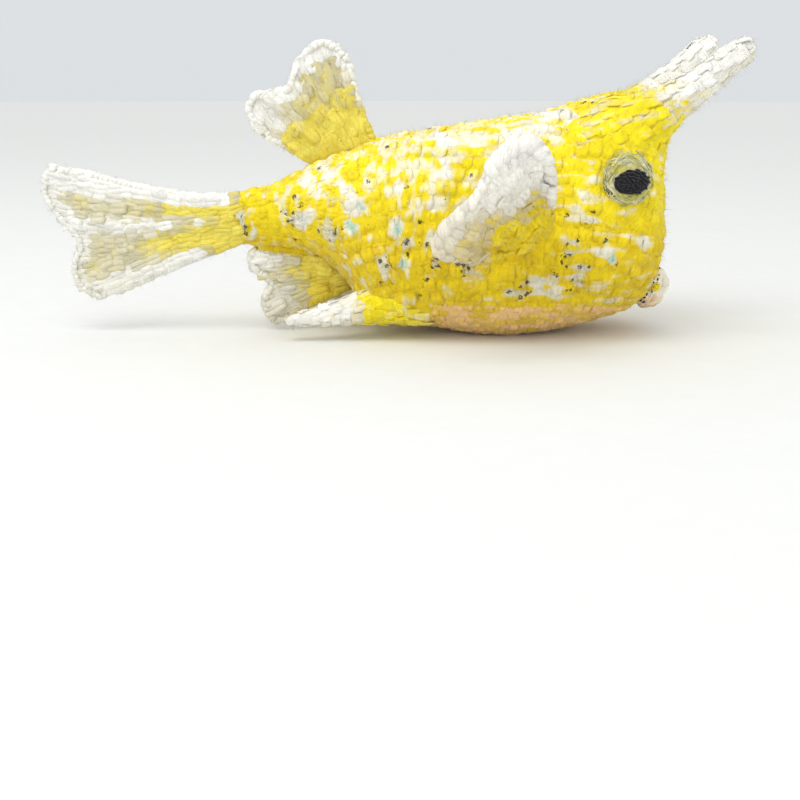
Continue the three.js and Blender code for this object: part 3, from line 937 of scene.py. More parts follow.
def dyed_wool_group():
    """Shared effect: hand-dyed wool with undyed runs, black and mint flecks; lower down the colour goes deeper and
    the white duller, partly real deeper dye and partly painted shade
    """
    colour = "NodeSocketColor"
    number = "NodeSocketFloat"
    tree, entry, leave = node_group(
        "Hand-dyed wool",
        [
            ("Bright", colour, (1, 1, 1, 1)), ("Deep", colour, (1, 1, 1, 1)),
            ("Undyed", colour, (1, 1, 1, 1)), ("Undyed shade", colour, (1, 1, 1, 1)),
            ("Black", colour, (0, 0, 0, 1)), ("Mint", colour, (0, 0, 0, 1)),
            ("Patch scale", number, 210.0), ("Deep below", number, 0.03), ("Bright above", number, 0.07),
            ("Undyed low", colour, (1, 1, 1, 1)), ("Bleeding", number, 1.2), ("Stray flecks", number, 0.99),
        ],
        [("Color", colour)],
    )
    place = tree.nodes.new("ShaderNodeTexCoord").outputs["Object"]
    split = add_node(tree, "ShaderNodeSeparateXYZ", {0: place})
    source = entry.outputs
    patches = noise_node(tree, place, source["Patch scale"], 3.0, 0.6)
    broad = noise_node(tree, place, 60.0, 2.0, 0.5)
    fine = noise_node(tree, place, 900.0, 3.0, 0.7)
    upright = noise_node(tree, scaled(tree, place, (300, 300, 120)), 1.0, 1.0, 0.5)
    lying = noise_node(tree, scaled(tree, place, (110, 280, 300)), 1.0, 1.0, 0.5)
    front = step_node(tree, split.outputs["X"], -0.035, 0.012)
    stretch = math_node(
        tree, "ADD", upright, math_node(tree, "MULTIPLY", front, math_node(tree, "SUBTRACT", lying, upright))
    )
    # Lower down the wool turns to the deep colour and its white to the duller low colour: partly real deeper dye,
    # partly painted shade of the lower parts
    height = math_node(tree, "ADD", split.outputs["Z"], math_node(tree, "MULTIPLY", broad, 0.012))
    low = step_node(tree, height, source["Deep below"], source["Bright above"], 1.0, 0.0)
    depth = math_node(
        tree, "ADD", math_node(tree, "MULTIPLY", low, 0.72), step_node(tree, patches, 0.42, 0.72, 0.0, 0.4),
        clamp=True,
    )
    wool = mix_colours(tree, depth, source["Bright"], source["Deep"])
    dye = attribute(tree, "dye")
    chance = math_node(tree, "FRACT", math_node(tree, "MULTIPLY", attribute(tree, "tone"), 7.31))
    amount = dye
    for value, weight in ((stretch, source["Bleeding"]), (chance, 0.12), (fine, 0.26)):
        swing = math_node(tree, "MULTIPLY", math_node(tree, "SUBTRACT", value, 0.5), weight)
        amount = math_node(tree, "ADD", amount, swing)
    undyed = math_node(
        tree, "ADD", step_node(tree, amount, 0.26, 0.66, 0.0, 0.88), step_node(tree, amount, 0.6, 0.9, 0.0, 0.12)
    )
    # Fully undyed wool shows pure white, and part-dyed wool the tint colour, which on the fins is painted shade in
    # their webs and under their rims, and on the horns' undersides partly painted shade
    pure_white = math_node(
        tree, "MULTIPLY", step_node(tree, dye, 0.5, 0.95), step_node(tree, fine, 0.75, 0.4, 0.7, 1.0)
    )
    white = mix_colours(tree, pure_white, source["Undyed shade"], source["Undyed"])
    white = mix_colours(tree, math_node(tree, "MULTIPLY", low, 0.7), white, source["Undyed low"])
    colour_out = mix_colours(tree, undyed, wool, white)
    inputs = {"Scale": 440.0, "Vector": shaken(tree, place, 1100.0, 0.0016)}
    cells = add_node(tree, "ShaderNodeTexVoronoi", inputs)
    chosen = add_node(tree, "ShaderNodeSeparateColor", {0: cells.outputs["Color"]})
    rare = math_node(tree, "MULTIPLY_ADD", attribute(tree, "speck"), -0.66, source["Stray flecks"])
    kept = math_node(tree, "GREATER_THAN", chosen.outputs[0], rare)
    uneven = math_node(tree, "SUBTRACT", fine, 0.5)
    ragged = math_node(tree, "MULTIPLY_ADD", uneven, 1.3, cells.outputs["Distance"])
    black = math_node(tree, "MULTIPLY", kept, step_node(tree, ragged, 0.55, 0.24, 0.0, 0.88))
    smudge = math_node(tree, "MULTIPLY", attribute(tree, "speck"), step_node(tree, fine, 0.35, 0.7, 0.0, 0.3))
    black = math_node(tree, "MAXIMUM", black, smudge)
    other = step_node(tree, patches, 0.44, 0.58, 0.12, 0.85)
    mint = math_node(tree, "MULTIPLY", step_node(tree, attribute(tree, "mint"), 0.3, 1.0), other)
    colour_out = mix_colours(tree, mint, colour_out, source["Mint"])
    colour_out = mix_colours(tree, black, colour_out, source["Black"])
    tone = math_node(tree, "MULTIPLY_ADD", attribute(tree, "tone"), 0.16, 0.92)
    shade = add_node(tree, "ShaderNodeHueSaturation", {"Value": tone, "Color": colour_out})
    set_inputs(tree, leave, {"Color": shade.outputs[0]})


def yarn_ply_group():
    """Shared effect: the twisted plies and fine fibres of a strand, as a height and a shade"""
    number = "NodeSocketFloat"
    tree, entry, leave = node_group(
        "Yarn plies",
        [("Plies", number, 3.0), ("Turns", number, 1.6), ("Fibres", number, 0.5), ("Fuzz", number, 0.5)],
        [("Height", number), ("Shade", number)],
    )
    layout = add_node(tree, "ShaderNodeUVMap", uv_map="yarn")
    split = add_node(tree, "ShaderNodeSeparateXYZ", {0: layout.outputs[0]})
    along, around = split.outputs["X"], split.outputs["Y"]
    turned = math_node(
        tree, "ADD", math_node(tree, "MULTIPLY", around, entry.outputs["Plies"]),
        math_node(tree, "MULTIPLY", along, entry.outputs["Turns"]),
    )
    wave = math_node(tree, "SINE", math_node(tree, "MULTIPLY", turned, 2 * math.pi))
    plies = math_node(tree, "MULTIPLY_ADD", wave, 0.5, 0.5)
    parts = (
        math_node(tree, "MULTIPLY", along, 3.0), math_node(tree, "MULTIPLY", turned, 7.0), attribute(tree, "tone"),
    )
    stretch = add_node(tree, "ShaderNodeCombineXYZ", enumerate(parts))
    fibres = noise_node(tree, stretch.outputs[0], 1.6, 3.0, 0.6)
    place = tree.nodes.new("ShaderNodeTexCoord").outputs["Object"]
    fuzz = noise_node(tree, place, 1500.0, 3.0, 0.7)
    height = math_node(
        tree, "ADD",
        math_node(tree, "MULTIPLY_ADD", fibres, entry.outputs["Fibres"], math_node(tree, "MULTIPLY", plies, 0.6)),
        math_node(tree, "MULTIPLY", fuzz, entry.outputs["Fuzz"]),
    )
    set_inputs(tree, leave, {"Height": height, "Shade": math_node(tree, "MULTIPLY_ADD", fibres, 0.7, 0.65)})


def shader_of(name):
    material = bpy.data.materials.new(name)
    material.use_nodes = True
    return material, material.node_tree, material.node_tree.nodes["Principled BSDF"]


def rgba(colour):
    return (*colour, 1.0)


def wool_material(
    name, bright, deep, undyed, shade, black, mint, low=(0.034, 0.07), bleeding=1.2, flecks=0.99, shade_below_dimming=1.0
):
    """Crocheted wool: dye, plies and fuzz, with painted shade that deepens the colour and dulls the white below
    the heights in low
    """
    material, tree, shader = shader_of(name)
    # The undyed wool below the heights in low takes the shade colour, dimmed: painted shade of the lower parts
    inputs = {
        "Bright": rgba(bright), "Deep": rgba(deep), "Undyed": rgba(undyed), "Undyed shade": rgba(shade),
        "Black": rgba(black), "Mint": rgba(mint), "Deep below": low[0], "Bright above": low[1],
        "Bleeding": bleeding, "Stray flecks": flecks, "Undyed low": rgba(np.array(shade) * shade_below_dimming),
    }
    groups = bpy.data.node_groups
    dye = add_node(tree, "ShaderNodeGroup", node_tree=groups["Hand-dyed wool"])
    set_inputs(tree, dye, inputs)
    plies = add_node(tree, "ShaderNodeGroup", node_tree=groups["Yarn plies"])
    inputs = {"Value": plies.outputs["Shade"], "Color": dye.outputs["Color"]}
    tint = add_node(tree, "ShaderNodeHueSaturation", inputs)
    inputs = {"Strength": 0.7, "Distance": 0.0003, "Height": plies.outputs["Height"]}
    bump = add_node(tree, "ShaderNodeBump", inputs)
    inputs = {
        "Base Color": tint.outputs[0], "Normal": bump.outputs[0],
        "Roughness": math_node(tree, "MULTIPLY_ADD", plies.outputs["Shade"], -0.1, 0.98),
        "Specular IOR Level": 0.2, "Sheen Weight": 0.25, "Sheen Roughness": 0.45,
    }
    set_inputs(tree, shader, inputs)
    return material


YARNS = {}


def make_yarns(colours):
    dyed_wool_group()
    yarn_ply_group()
    dark, mint = tuple(colours.black), tuple(colours.mint)
    lemon, mustard = tuple(colours.lemon), tuple(colours.mustard)
    undyed, cream = tuple(colours.undyed), tuple(colours.cream)
    peach_bounce, pink = tuple(colours.peach_bounce), tuple(colours.pink)
    # The yellow goes mustard and its cream greyer towards the bottom: partly real deeper dye, partly painted shade
    YARNS["yellow"] = wool_material(
        "Yellow yarn", lemon, mustard, undyed, cream, dark, mint, bleeding=1.9, flecks=0.985, shade_below_dimming=0.72
    )
    # A darker cream for part-dyed white wool; on the horns' undersides it is partly painted shade
    shaded = tuple(np.array(cream) * (0.88, 0.86, 0.84))
    # Painted shade: tan in the webs and grooves of the fins and under their rims, and a deeper tan for the shadow
    # under a side fin's puffed rim; the side fins also take painted shade lower down
    painted_web_shade, painted_rim_shadow = tuple(np.array(cream) * (0.66, 0.64, 0.56)), tuple(np.array(cream) * (0.68, 0.6, 0.44))
    straw = tuple(mix(np.array(lemon), np.array(painted_web_shade), 0.3))
    YARNS["fin"] = wool_material("Fin yarn", straw, mustard, undyed, painted_web_shade, dark, mint, (0.0, 0.04), 0.6, 1.2)
    YARNS["side_fin"] = wool_material(
        "Side fin yarn", lemon, mustard, undyed, painted_rim_shadow, dark, mint, (0.03, 0.08), 1.1, 1.2
    )
    YARNS["white"] = wool_material(
        "White yarn", lemon, mustard, undyed, shaded, dark, mint, (-0.02, 0.01), 1.3, 1.2
    )
    # The belly panel: painted warm bounce light and shade in peach over pale wool, yellow where it is undyed
    YARNS["peach_bounce"] = wool_material("Peach yarn", peach_bounce, peach_bounce, lemon, mustard, dark, mint, (-1, -0.5), 1.6, 1.2)
    # The mouth pad goes peach towards its bottom: painted warm bounce light and shade
    YARNS["mouth"] = wool_material("Mouth yarn", pink, peach_bounce, undyed, cream, dark, mint, (0.005, 0.02), 1.2, 1.2)
    olive = tuple(mix(np.array(cream), np.array(mustard), 0.5) * (0.5, 0.54, 0.5))
    gold = tuple(mix(np.array(cream), np.array(lemon), 0.55) * (0.74, 0.78, 0.5))
    pale_olive = tuple(np.array(cream) * (0.84, 0.86, 0.7))
    YARNS["eye"] = wool_material("Eye yarn", gold, olive, cream, pale_olive, dark, mint, (-1, -0.5), 3.0, 1.2)
    soot = tuple(value * 2.2 for value in dark)
    YARNS["black"] = wool_material("Black yarn", dark, soot, soot, dark, dark, dark, (-1, -0.5), 0.2, 1.2)


SLOTS = {
    "yellow": "yellow_yarn", "white": "white_yarn", "fin": "white_yarn", "side_fin": "white_yarn",
    "peach_bounce": "peach_yarn", "mouth": "mouth_yarn", "eye": "eye_felt", "black": "black_yarn",
}


def settle(piece, yarn, replaced=()):
    """Material, body and record slot of a finished piece"""
    piece.data.materials.clear()
    piece.data.materials.append(YARNS[yarn])
    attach(piece, BODY)
    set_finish(piece, SLOTS[yarn])
    if replaced:
        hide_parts(*replaced)


# The body

BODY_RINGS = 112
CAP_RINGS = 34
BODY_SIDES = 176
SKINS = {}


def body_grid(depth):
    """The padding's skin, this far under the outside of the stitches"""
    swing = np.linspace(0, math.pi / 2 * 0.985, CAP_RINGS)
    x = np.concatenate(
        [
            np.linspace(STALK_END, CAP_START, BODY_RINGS, endpoint=False),
            CAP_START + (FACE_X - depth - CAP_START) * np.sin(swing),
        ]
    )
    turn = np.linspace(0, 2 * math.pi, BODY_SIDES, endpoint=False)
    return Skin(body_skin(x[:, None], turn[None, :], -depth), closed=True)


def seam_distance(skin):
    """Way over the skin from the belly seam, above it positive"""
    x, z = skin.places[..., 0], skin.places[..., 2]
    above = z - seam_at(np.clip(x, SEAM[0][0], SEAM[-1][0])) + np.where(x < SEAM[0][0], 30, 0)
    lines = level_lines(skin, above, 0.0)
    line = max(lines, key=len)
    spots = evenly_along(line, 0.7)[0][:, :3]
    start = np.full(x.shape, np.inf)
    near = np.argwhere(np.abs(above) < 5)
    places = skin.places[near[:, 0], near[:, 1]]
    for block in range(0, len(places), 2000):
        part = places[block : block + 2000]
        gap = np.linalg.norm(part[:, None] - spots[None], axis=-1).min(1)
        rows, columns = near[block : block + 2000].T
        start[rows, columns] = np.where(gap < 4, gap, np.inf)
    return skin_distance(skin.places, start) * np.where(above > 0, 1, -1), line


def depth_in_body(places):
    """How deep under the body's outside each place is, in millimetres"""
    skin = SKINS["outer"]
    spots = skin.places[::2, ::2].reshape(-1, 3)
    outward = skin.outward[::2, ::2].reshape(-1, 3)
    depth = np.empty(len(places))
    for block in range(0, len(places), 500):
        part = places[block : block + 500]
        nearest = np.linalg.norm(part[:, None] - spots[None], axis=-1).argmin(1)
        depth[block : block + 500] = -np.einsum("ij,ij->i", part - spots[nearest], outward[nearest])
    return depth


def fillet_lift(depth, reach):
    """How far a skin rises beside another one, so that the two flow together"""
    gap = np.clip(-depth, 0, reach)
    return ((reach - gap) ** 2 / (4 * reach))[:, None]


def horn_lift(places):
    """How far the body rises round the roots of the four horns"""
    lifts = [
        fillet_lift(depth_in_horn(places, horn, side), horn["fillet"])
        for horn in (HORN, REAR_HORN) for side in (-1, 1)
    ]
    return np.maximum.reduce(lifts)


def undyed_at(places):
    """Share of undyed wool over the body, most on the rear upper flank"""
    x, z = places[:, 0], places[:, 2]
    rear = np.exp(-(((x + 32) / 34) ** 2))
    share = 0.15 + 0.3 * rear * smooth_step(z, 40, 56)
    share += 0.16 * smooth_step(x, -30, 0) * smooth_step(z, 60, 76)
    beside_eye = np.exp(-(((x - 36) / 5) ** 2) - ((z - 58) / 8) ** 2)
    return share + 0.26 * beside_eye + 0.07 * smooth_step(-z, -34, -25) - 0.05 * smooth_step(x, 40, 56)


def depth_in_horn(places, horn, side):
    """How deep inside a horn each place is, in millimetres"""
    name = "left" if side > 0 else "right"
    centre, radius = horn_line(horn, name, np.linspace(HORN_SUNK, 0.97, 76))
    ahead = unit(np.gradient(centre, axis=0))
    offset = places[:, None] - centre[None]
    level = np.abs(np.einsum("ijk,jk->ij", offset, ahead)) < 1.5
    depth = np.where(level, radius[None] - np.linalg.norm(offset, axis=-1), -99)
    return depth.max(1)


def clear_of_neighbours(places):
    """Stitches under the eyes, the horns and the mouth are left out"""
    keep = np.ones(len(places), bool)
    for side in (-1, 1):
        keep &= np.linalg.norm(places - eye_spot(side), axis=1) > EYE["across"] - 2.4
        for horn in (HORN, REAR_HORN):
            keep &= depth_in_horn(places, horn, side) < DEEPEST_STITCH
    pad = np.array([MOUTH["x"], 0, MOUTH["z"]])
    keep &= np.linalg.norm((places - pad) / (1, 1.25, 1), axis=1) > MOUTH["half_tall"] - 1.5
    return keep


def add_row(rows, skin, field, level, pitch, height, depth, phase=0.0, lift=0.0, undyed=undyed_at):
    """One row of stitches where the field has this level"""
    for line in level_lines(skin, field, level):
        found = evenly_along(line, pitch, phase)
        if found is None:
            continue
        values, along, width = found
        values[:, PLACE] += lift * values[:, OUTWARD] + JITTER.normal(0, UNEVEN_PLACING, (len(values), 3))
        rows.add(values, along, width, height, depth, undyed(values[:, PLACE]))


def split_rows(rows, tests):
    """The rows parted into several by tests of their places"""
    table = rows.table()
    parts = []
    for test in tests:
        part = Rows()
        part.parts = [table[test(table[:, PLACE])]]
        parts.append(part)
    return parts


BODY_INSET = 1.2
PADDING_LIFT = 0.58
BELLY_LIFT = 0.3
BELLY_THICKNESS = 0.9
UNEVEN_PLACING = 0.24
DEEPEST_STITCH = 1.4
JITTER = np.random.default_rng(SEED)


def make_body(sizes):
    depth = sizes.stitch_depth / MM
    row, ring, small = sizes.row_height / MM, sizes.ring_height / MM, sizes.belly_stitch / MM
    width = sizes.stitch_width / MM
    skin = body_grid(BODY_INSET)
    SKINS["outer"] = body_grid(0.0)
    field, seam_line = seam_distance(skin)
    x = skin.places[..., 0]

    upper = Rows()
    for k in range(int(field.max() / row) + 1):
        add_row(upper, skin, field, (k + 0.55) * row, width, row, depth, 0.5 * (k % 2))
    upper.keep(lambda places: places[:, 0] > RING_ROWS_FROM)
    for k in range(int((RING_ROWS_FROM - STALK_END) / ring) + 1):
        level = -RING_ROWS_FROM + (k + 0.2) * ring
        add_row(upper, skin, -x, level, width * 0.92, ring, depth, 0.5 * (k % 2))
    upper.keep(clear_of_neighbours)
    upper.lift(horn_lift)
    x = np.arange(-84.0, -62.0, 2.6)
    for side in (-1, 1):
        places = np.stack([x, np.full(len(x), side * 1.4), belly_at(x) + 0.2], 1)
        sewn = np.concatenate([places, np.tile([0.0, side, -0.3], (len(x), 1))], 1)
        sewn = np.concatenate([sewn, np.stack([x / -100.0, np.full(len(x), 0.75)], 1)], 1)
        upper.add(sewn, np.tile([1.0, 0, 0], (len(x), 1)), 3.4, 3.8, depth, 0.12)
    head, torso, stalk = split_rows(
        upper,
        [
            lambda p: p[:, 0] > HEAD_CUT,
            lambda p: (p[:, 0] <= HEAD_CUT) & (p[:, 0] > STALK_CUT),
            lambda p: p[:, 0] <= STALK_CUT,
        ],
    )
    mesh = skin_mesh("body_padding", skin, PADDING_LIFT)
    lift_mesh(mesh, horn_lift)
    dress_like(mesh, upper, True)
    settle(new_object("body_padding", mesh), "yellow", ("head", "torso", "tail_stalk"))
    for name, part, seed in (("head_rows", head, 1), ("torso_rows", torso, 2), ("stalk_rows", stalk, 3)):
        work_rows(name, part, "stitch", "yellow", seed, spotted=True)

    # The belly panel's peach is painted warm bounce light and shade, with more of it at the bottom where less
    # undyed share is left
    belly = Rows()
    for k in range(int(-field.min() / small) + 1):
        add_row(
            belly, skin, field, -(k + 0.5) * small, small, small, depth * 0.8, 0.5 * (k % 2), 0.4,
            lambda places: 0.44 - 0.08 * smooth_step(-places[:, 2], -12, 0),
        )
    belly.keep(clear_of_neighbours)
    settle(belly_patch(skin, field, belly), "peach_bounce", ("belly",))
    work_rows("belly_rows", belly, "stitch", "peach_bounce", 4)

    seam = Rows()
    values, along, wide = evenly_along(seam_line, width * 0.8)
    seam.add(values, along, wide, row * 0.72, depth * 1.12, 0.1)
    seam.keep(clear_of_neighbours)
    work_rows("belly_seam", seam, "stitch", "yellow", 5)


def dress_like(mesh, rows, spotted=False):
    """The dye of the nearest stitch at every point of the padding under it"""
    table = rows.table()
    tree = KDTree(len(table))
    for i, place in enumerate(table[:, PLACE].tolist()):
        tree.insert(place, i)
    tree.balance()
    places = point_places(mesh)
    nearest = [tree.find(place)[1] for place in places.tolist()]
    set_numbers(mesh, dye=table[nearest, DYE], tone=0.3)
    set_spots(mesh, places, spotted)


def lift_mesh(mesh, lift):
    """Moves the points of a mesh outward by the lift of their places"""
    places = point_places(mesh)
    outward = np.empty(len(places) * 3, np.float32)
    mesh.vertices.foreach_get("normal", outward)
    places += lift(places) * outward.reshape(-1, 3)
    mesh.vertices.foreach_set("co", (places * MM).astype(np.float32).ravel())
    mesh.update()


def dress_plain(mesh, dye=0.0):
    """The attributes that the wool reads, on a mesh without stitches"""
    set_numbers(mesh, dye=dye, tone=0.2, speck=0, mint=0)


def belly_patch(skin, field, stitches):
    """The padding under the belly panel: a thin closed shell over the body's padding"""
    rows, columns = skin.places.shape[:2]
    below = field.ravel() < 0.4
    faces = [face for face in grid_faces(rows, columns, True) if all(below[k] for k in face)]
    used = sorted({k for face in faces for k in face})
    order = {k: i for i, k in enumerate(used)}
    places = (skin.places + (PADDING_LIFT + BELLY_LIFT) * skin.outward).reshape(-1, 3)[used]
    mesh = mesh_of("belly_padding", places, [[order[k] for k in face] for face in faces])
    set_layout(mesh, skin.layout.reshape(-1, 2)[used])
    dress_like(mesh, stitches)
    patch = new_object("belly_padding", mesh)
    shell = patch.modifiers.new("Shell", "SOLIDIFY")
    shell.thickness = BELLY_THICKNESS * MM
    shell.offset = -1
    return patch


# Horns

HORN_INSET = 1.0
HORN_PADDING_LIFT = 0.52
HORN_RINGS, HORN_SIDES = 88, 44
TIP_RINGS = 12


def horn_line(horn, name, along):
    """Middle line and radius of a horn, by its share of the way from root to tip"""
    side = 1 if name == "left" else -1
    root = np.array(horn["root"], float) * (1, side, 1)
    tip = np.array(horn["tips"][name], float)
    middle = (root + tip) / 2 - (0, 0, horn["bend"])
    a = np.asarray(along, float)[:, None]
    centre = root * (1 - a) ** 2 + middle * 2 * a * (1 - a) + tip * a**2
    flare = np.clip(1 - a[:, 0] / HORN_FLARE, 0, 1) ** HORN_FLARE_POWER
    radius = mix(horn["neck_radius"], horn["tip_radius"], a[:, 0])
    return centre, radius + (horn["root_radius"] - horn["neck_radius"]) * flare


def horn_skin(horn, name, inset):
    """Skin of a horn, from its root inside the body to its round tip"""
    centre, _ = horn_line(horn, name, np.linspace(0, 1, 400))
    length = np.linalg.norm(np.diff(centre, axis=0), axis=1).sum()
    round_end = horn["tip_radius"] / length
    straight = np.linspace(HORN_SUNK, 1 - round_end, HORN_RINGS - TIP_RINGS, endpoint=False)
    bend = 1 - round_end + round_end * np.sin(np.linspace(0, 1.5, TIP_RINGS))
    along = np.concatenate([straight, bend]) * (1 - inset / length)
    centre, plain = horn_line(horn, name, along)
    ahead = unit(np.gradient(centre, axis=0))
    sideways = unit(np.cross([0, 0, 1.0], ahead))
    upward = np.cross(ahead, sideways)
    end = (1 - inset / length) * (1 - round_end)
    into_end = np.maximum(0, (along - end) / (along[-1] * 1.001 - end))
    radius = (plain - inset) * np.sqrt(np.maximum(0.001, 1 - into_end**2))
    turn = np.linspace(0, 2 * math.pi, HORN_SIDES, endpoint=False)[None, :, None]
    offset = sideways[:, None] * np.cos(turn) + upward[:, None] * np.sin(turn)
    return Skin(centre[:, None] + offset * radius[:, None, None], closed=True)


def make_horn(label, horn, name, sizes, seed, base_share):
    skin = horn_skin(horn, name, HORN_INSET)
    root = np.array(horn["root"]) * (1, 1 if name == "left" else -1, 1)
    steps = np.linalg.norm(np.diff(skin.places, axis=0), axis=-1).mean(1)
    reach = np.concatenate([[0], np.cumsum(steps)])
    field = np.repeat(reach[:, None], skin.places.shape[1], 1)
    radii = np.linalg.norm(skin.places - skin.places.mean(1, keepdims=True), axis=-1)[:, 0]
    rows = Rows()
    count = int(reach[-1] / (0.9 * sizes.ring_height / MM))
    row = reach[-1] / (count + 0.1)

    def undyed(places):
        # The underside keeps less undyed share and shows the darker cream and yellow: partly real yellow mottles,
        # partly painted shade under the horn
        below = smooth_step(-skin_side(places, horn, name), -0.1, 0.8)
        far = np.linalg.norm(places - root, axis=1) * (1 - HORN_SUNK) / reach[-1]
        far = far + 0.05 * ripple(places, 8.0, SEED + 3)
        return 0.13 + 0.87 * smooth_step(far, base_share - 0.2, base_share + 0.2) - 0.24 * below

    for k in range(count + 1):
        level = min((k + 0.3) * row, reach[-1] - 1.4)
        size = min(1.0, 0.4 + np.interp(level, reach, radii) / 7)
        add_row(
            rows, skin, field, level, size * sizes.ring_height / MM, 1.16 * size * row, 0.66 * size,
            0.5 * (k % 2), 0.2, undyed,
        )
    rows.keep(lambda places: depth_in_body(places) < DEEPEST_STITCH)

    def body_lift(places):
        return fillet_lift(depth_in_body(places), horn["fillet"])

    rows.lift(body_lift)
    mesh = skin_mesh(f"{label}_{name}_padding", skin, HORN_PADDING_LIFT)
    lift_mesh(mesh, body_lift)
    dress_like(mesh, rows)
    node = {"long_horn": "horn", "rear_horn": "rear_horn"}[label]
    settle(new_object(f"{label}_{name}_padding", mesh), "white", (f"{node}_{name}",))
    work_rows(f"{label}_{name}_rows", rows, "stitch", "white", seed, 0.16, 0.16)


def skin_side(places, horn, name):
    """1 on the upper side of a horn and -1 on its lower side"""
    centre, radius = horn_line(horn, name, np.linspace(0, 1, 60))
    gap = np.linalg.norm(places[:, None] - centre[None], axis=-1)
    nearest = gap.argmin(1)
    return np.clip((places[:, 2] - centre[nearest, 2]) / radius[nearest], -1, 1)


# Fins

FIN_INSET = 1.1
FIN_PADDING_RISE = 0.5
FIN_LINE_POINTS = 160
RIM_SIDE_POINTS, RIM_TIP_POINTS = 90, 160
RIM_SCALE = {"tail": 0.86, "dorsal": 0.95, "anal": 1.0, "pectoral": 1.5}


def tip_line(points):
    """Centripetal curve through the points, walked by its own length from 0 to 1"""
    p = np.array(points, float)
    p = np.concatenate([[2 * p[0] - p[1]], p, [2 * p[-1] - p[-2]]])
    found = []
    for i in range(1, len(p) - 2):
        d0, d1, d2 = (np.sum((p[i + k] - p[i + k - 1]) ** 2) ** 0.25 for k in range(3))
        a = ((p[i] - p[i - 1]) / d0 - (p[i + 1] - p[i - 1]) / (d0 + d1) + (p[i + 1] - p[i]) / d1) * d1
        b = ((p[i + 1] - p[i]) / d1 - (p[i + 2] - p[i]) / (d1 + d2) + (p[i + 2] - p[i + 1]) / d2) * d1
        t = np.linspace(0, 1, 24, endpoint=False)[:, None]
        rise = p[i + 1] - p[i]
        found.append(p[i] + a * t + (3 * rise - 2 * a - b) * t**2 + (a + b - 2 * rise) * t**3)
    line = np.concatenate(found + [p[-2:-1]])
    reach = np.concatenate([[0], np.cumsum(np.linalg.norm(np.diff(line, axis=0), axis=1))])
    reach /= reach[-1]
    return lambda v: np.stack([np.interp(v, reach, column) for column in line.T], -1)


class Fin:
    """A padded fan-shaped fin, u out along its rays and v from its first side edge to the other"""

    def __init__(self, sizes, side=-1, puff=0.0):
        flip = np.array([1, -side, 1.0])
        self.sizes = sizes
        self.away = np.array([0, side * puff, 0])
        self.root = np.array(sizes["root"], float) * flip
        self.bend = np.array(sizes["bend"], float) * flip
        self.tip = tip_line(np.array(sizes["tip"], float) * flip)

    def sheet(self, u, v):
        u, v = np.broadcast_arrays(np.asarray(u, float), np.asarray(v, float))
        s, t = u[..., None], v[..., None]
        place = mix(self.root[0], self.root[1], t) * (1 - s) ** 2
        place = place + mix(self.bend[0], self.bend[1], t) * 2 * s * (1 - s)
        return place + self.tip(v) * s**2

    def facing(self, u, v, step=0.02):
        along = self.sheet(u + step, v) - self.sheet(u - step, v)
        across = self.sheet(u, np.minimum(v + step, 1)) - self.sheet(u, np.maximum(v - step, 0))
        return unit(np.cross(along, across))

    def half(self, u, v):
        u, v = np.broadcast_arrays(np.asarray(u, float), np.asarray(v, float))
        size = self.sizes
        opened = np.clip(u / FIN_OPENS_BY, 0, 1)
        ribs = sum(np.exp(-(((v - at) / RIB_WIDTH) ** 2)) for at in size["ribs"]) - 0.4
        depth = mix(size["root_half"], size["half"], smooth_step(opened, 0, 1))
        depth = depth + ribs * size["rib_height"] * opened
        side_edge = np.sqrt(np.maximum(0, 1 - np.abs(2 * v - 1) ** mix(2, SIDE_RIM, opened)))
        tip_edge = np.sqrt(np.maximum(0, 1 - np.maximum(u, 0) ** TIP_RIM))
        return depth * side_edge * tip_edge

    def face(self, u, v, face, inset):
        """A place on one face of the padding, cupped inside its puffed rim on the side away from the body"""
        u, v = np.broadcast_arrays(np.asarray(u, float), np.asarray(v, float))
        half = np.maximum(self.half(u, v) - inset, 0.0)
        facing = face * self.facing(u, v)
        place = self.sheet(u, v)
        cup = np.exp(-(((u - 0.84) / 0.14) ** 2)) - 0.6 * np.exp(-(((u - 0.48) / 0.16) ** 2))
        cup = cup * np.maximum(0, facing @ self.away) * (1 - 0.6 * np.exp(-(((v - 0.57) / 0.07) ** 2)))
        lumps = ripple(place.reshape(-1, 3), 9.0, SEED + 5 + face).reshape(u.shape) * self.sizes["lumps"]
        soft = (1 - np.abs(2 * v - 1) ** 6) * np.clip(1 - u**10, 0, 1)
        raised = half + cup * (1 - np.abs(2 * v - 1) ** 6) + lumps * soft
        return place + np.maximum(raised, 0.2)[..., None] * facing


def fin_skin(fin, face, inset, rows, columns):
    share = np.linspace(0, 1, rows)
    u = mix(fin.sizes["sunk"], 0.985, share)[:, None]
    v = (0.5 - 0.5 * np.cos(math.pi * np.linspace(0.02, 0.98, columns)))[None, :]
    return Skin(fin.face(u, v, face, inset), closed=False, flip=face > 0)


def fin_padding(name, fin, inset):
    """The stuffed fin under its stitches, both faces joined round the rim"""
    rows, columns = 44, 72
    skins = [fin_skin(fin, face, inset, rows, columns) for face in (1, -1)]
    places = np.concatenate([skin.places.reshape(-1, 3) for skin in skins])
    faces = grid_faces(rows, columns, False, 0, skins[0].flip) + grid_faces(
        rows, columns, False, rows * columns, skins[1].flip
    )
    count = rows * columns
    rim = [i * columns for i in range(rows)] + [(rows - 1) * columns + j for j in range(1, columns)]
    rim += [i * columns + columns - 1 for i in range(rows - 2, -1, -1)] + list(range(columns - 2, 0, -1))
    for k, a in enumerate(rim):
        b = rim[(k + 1) % len(rim)]
        faces.append((a, b, b + count, a + count))
    mesh = mesh_of(name, places, faces)
    layout = np.concatenate([skin.layout.reshape(-1, 2) for skin in skins])
    set_layout(mesh, layout[:, ::-1] * (14, 6), round_skin=False)
    return new_object(name, mesh)


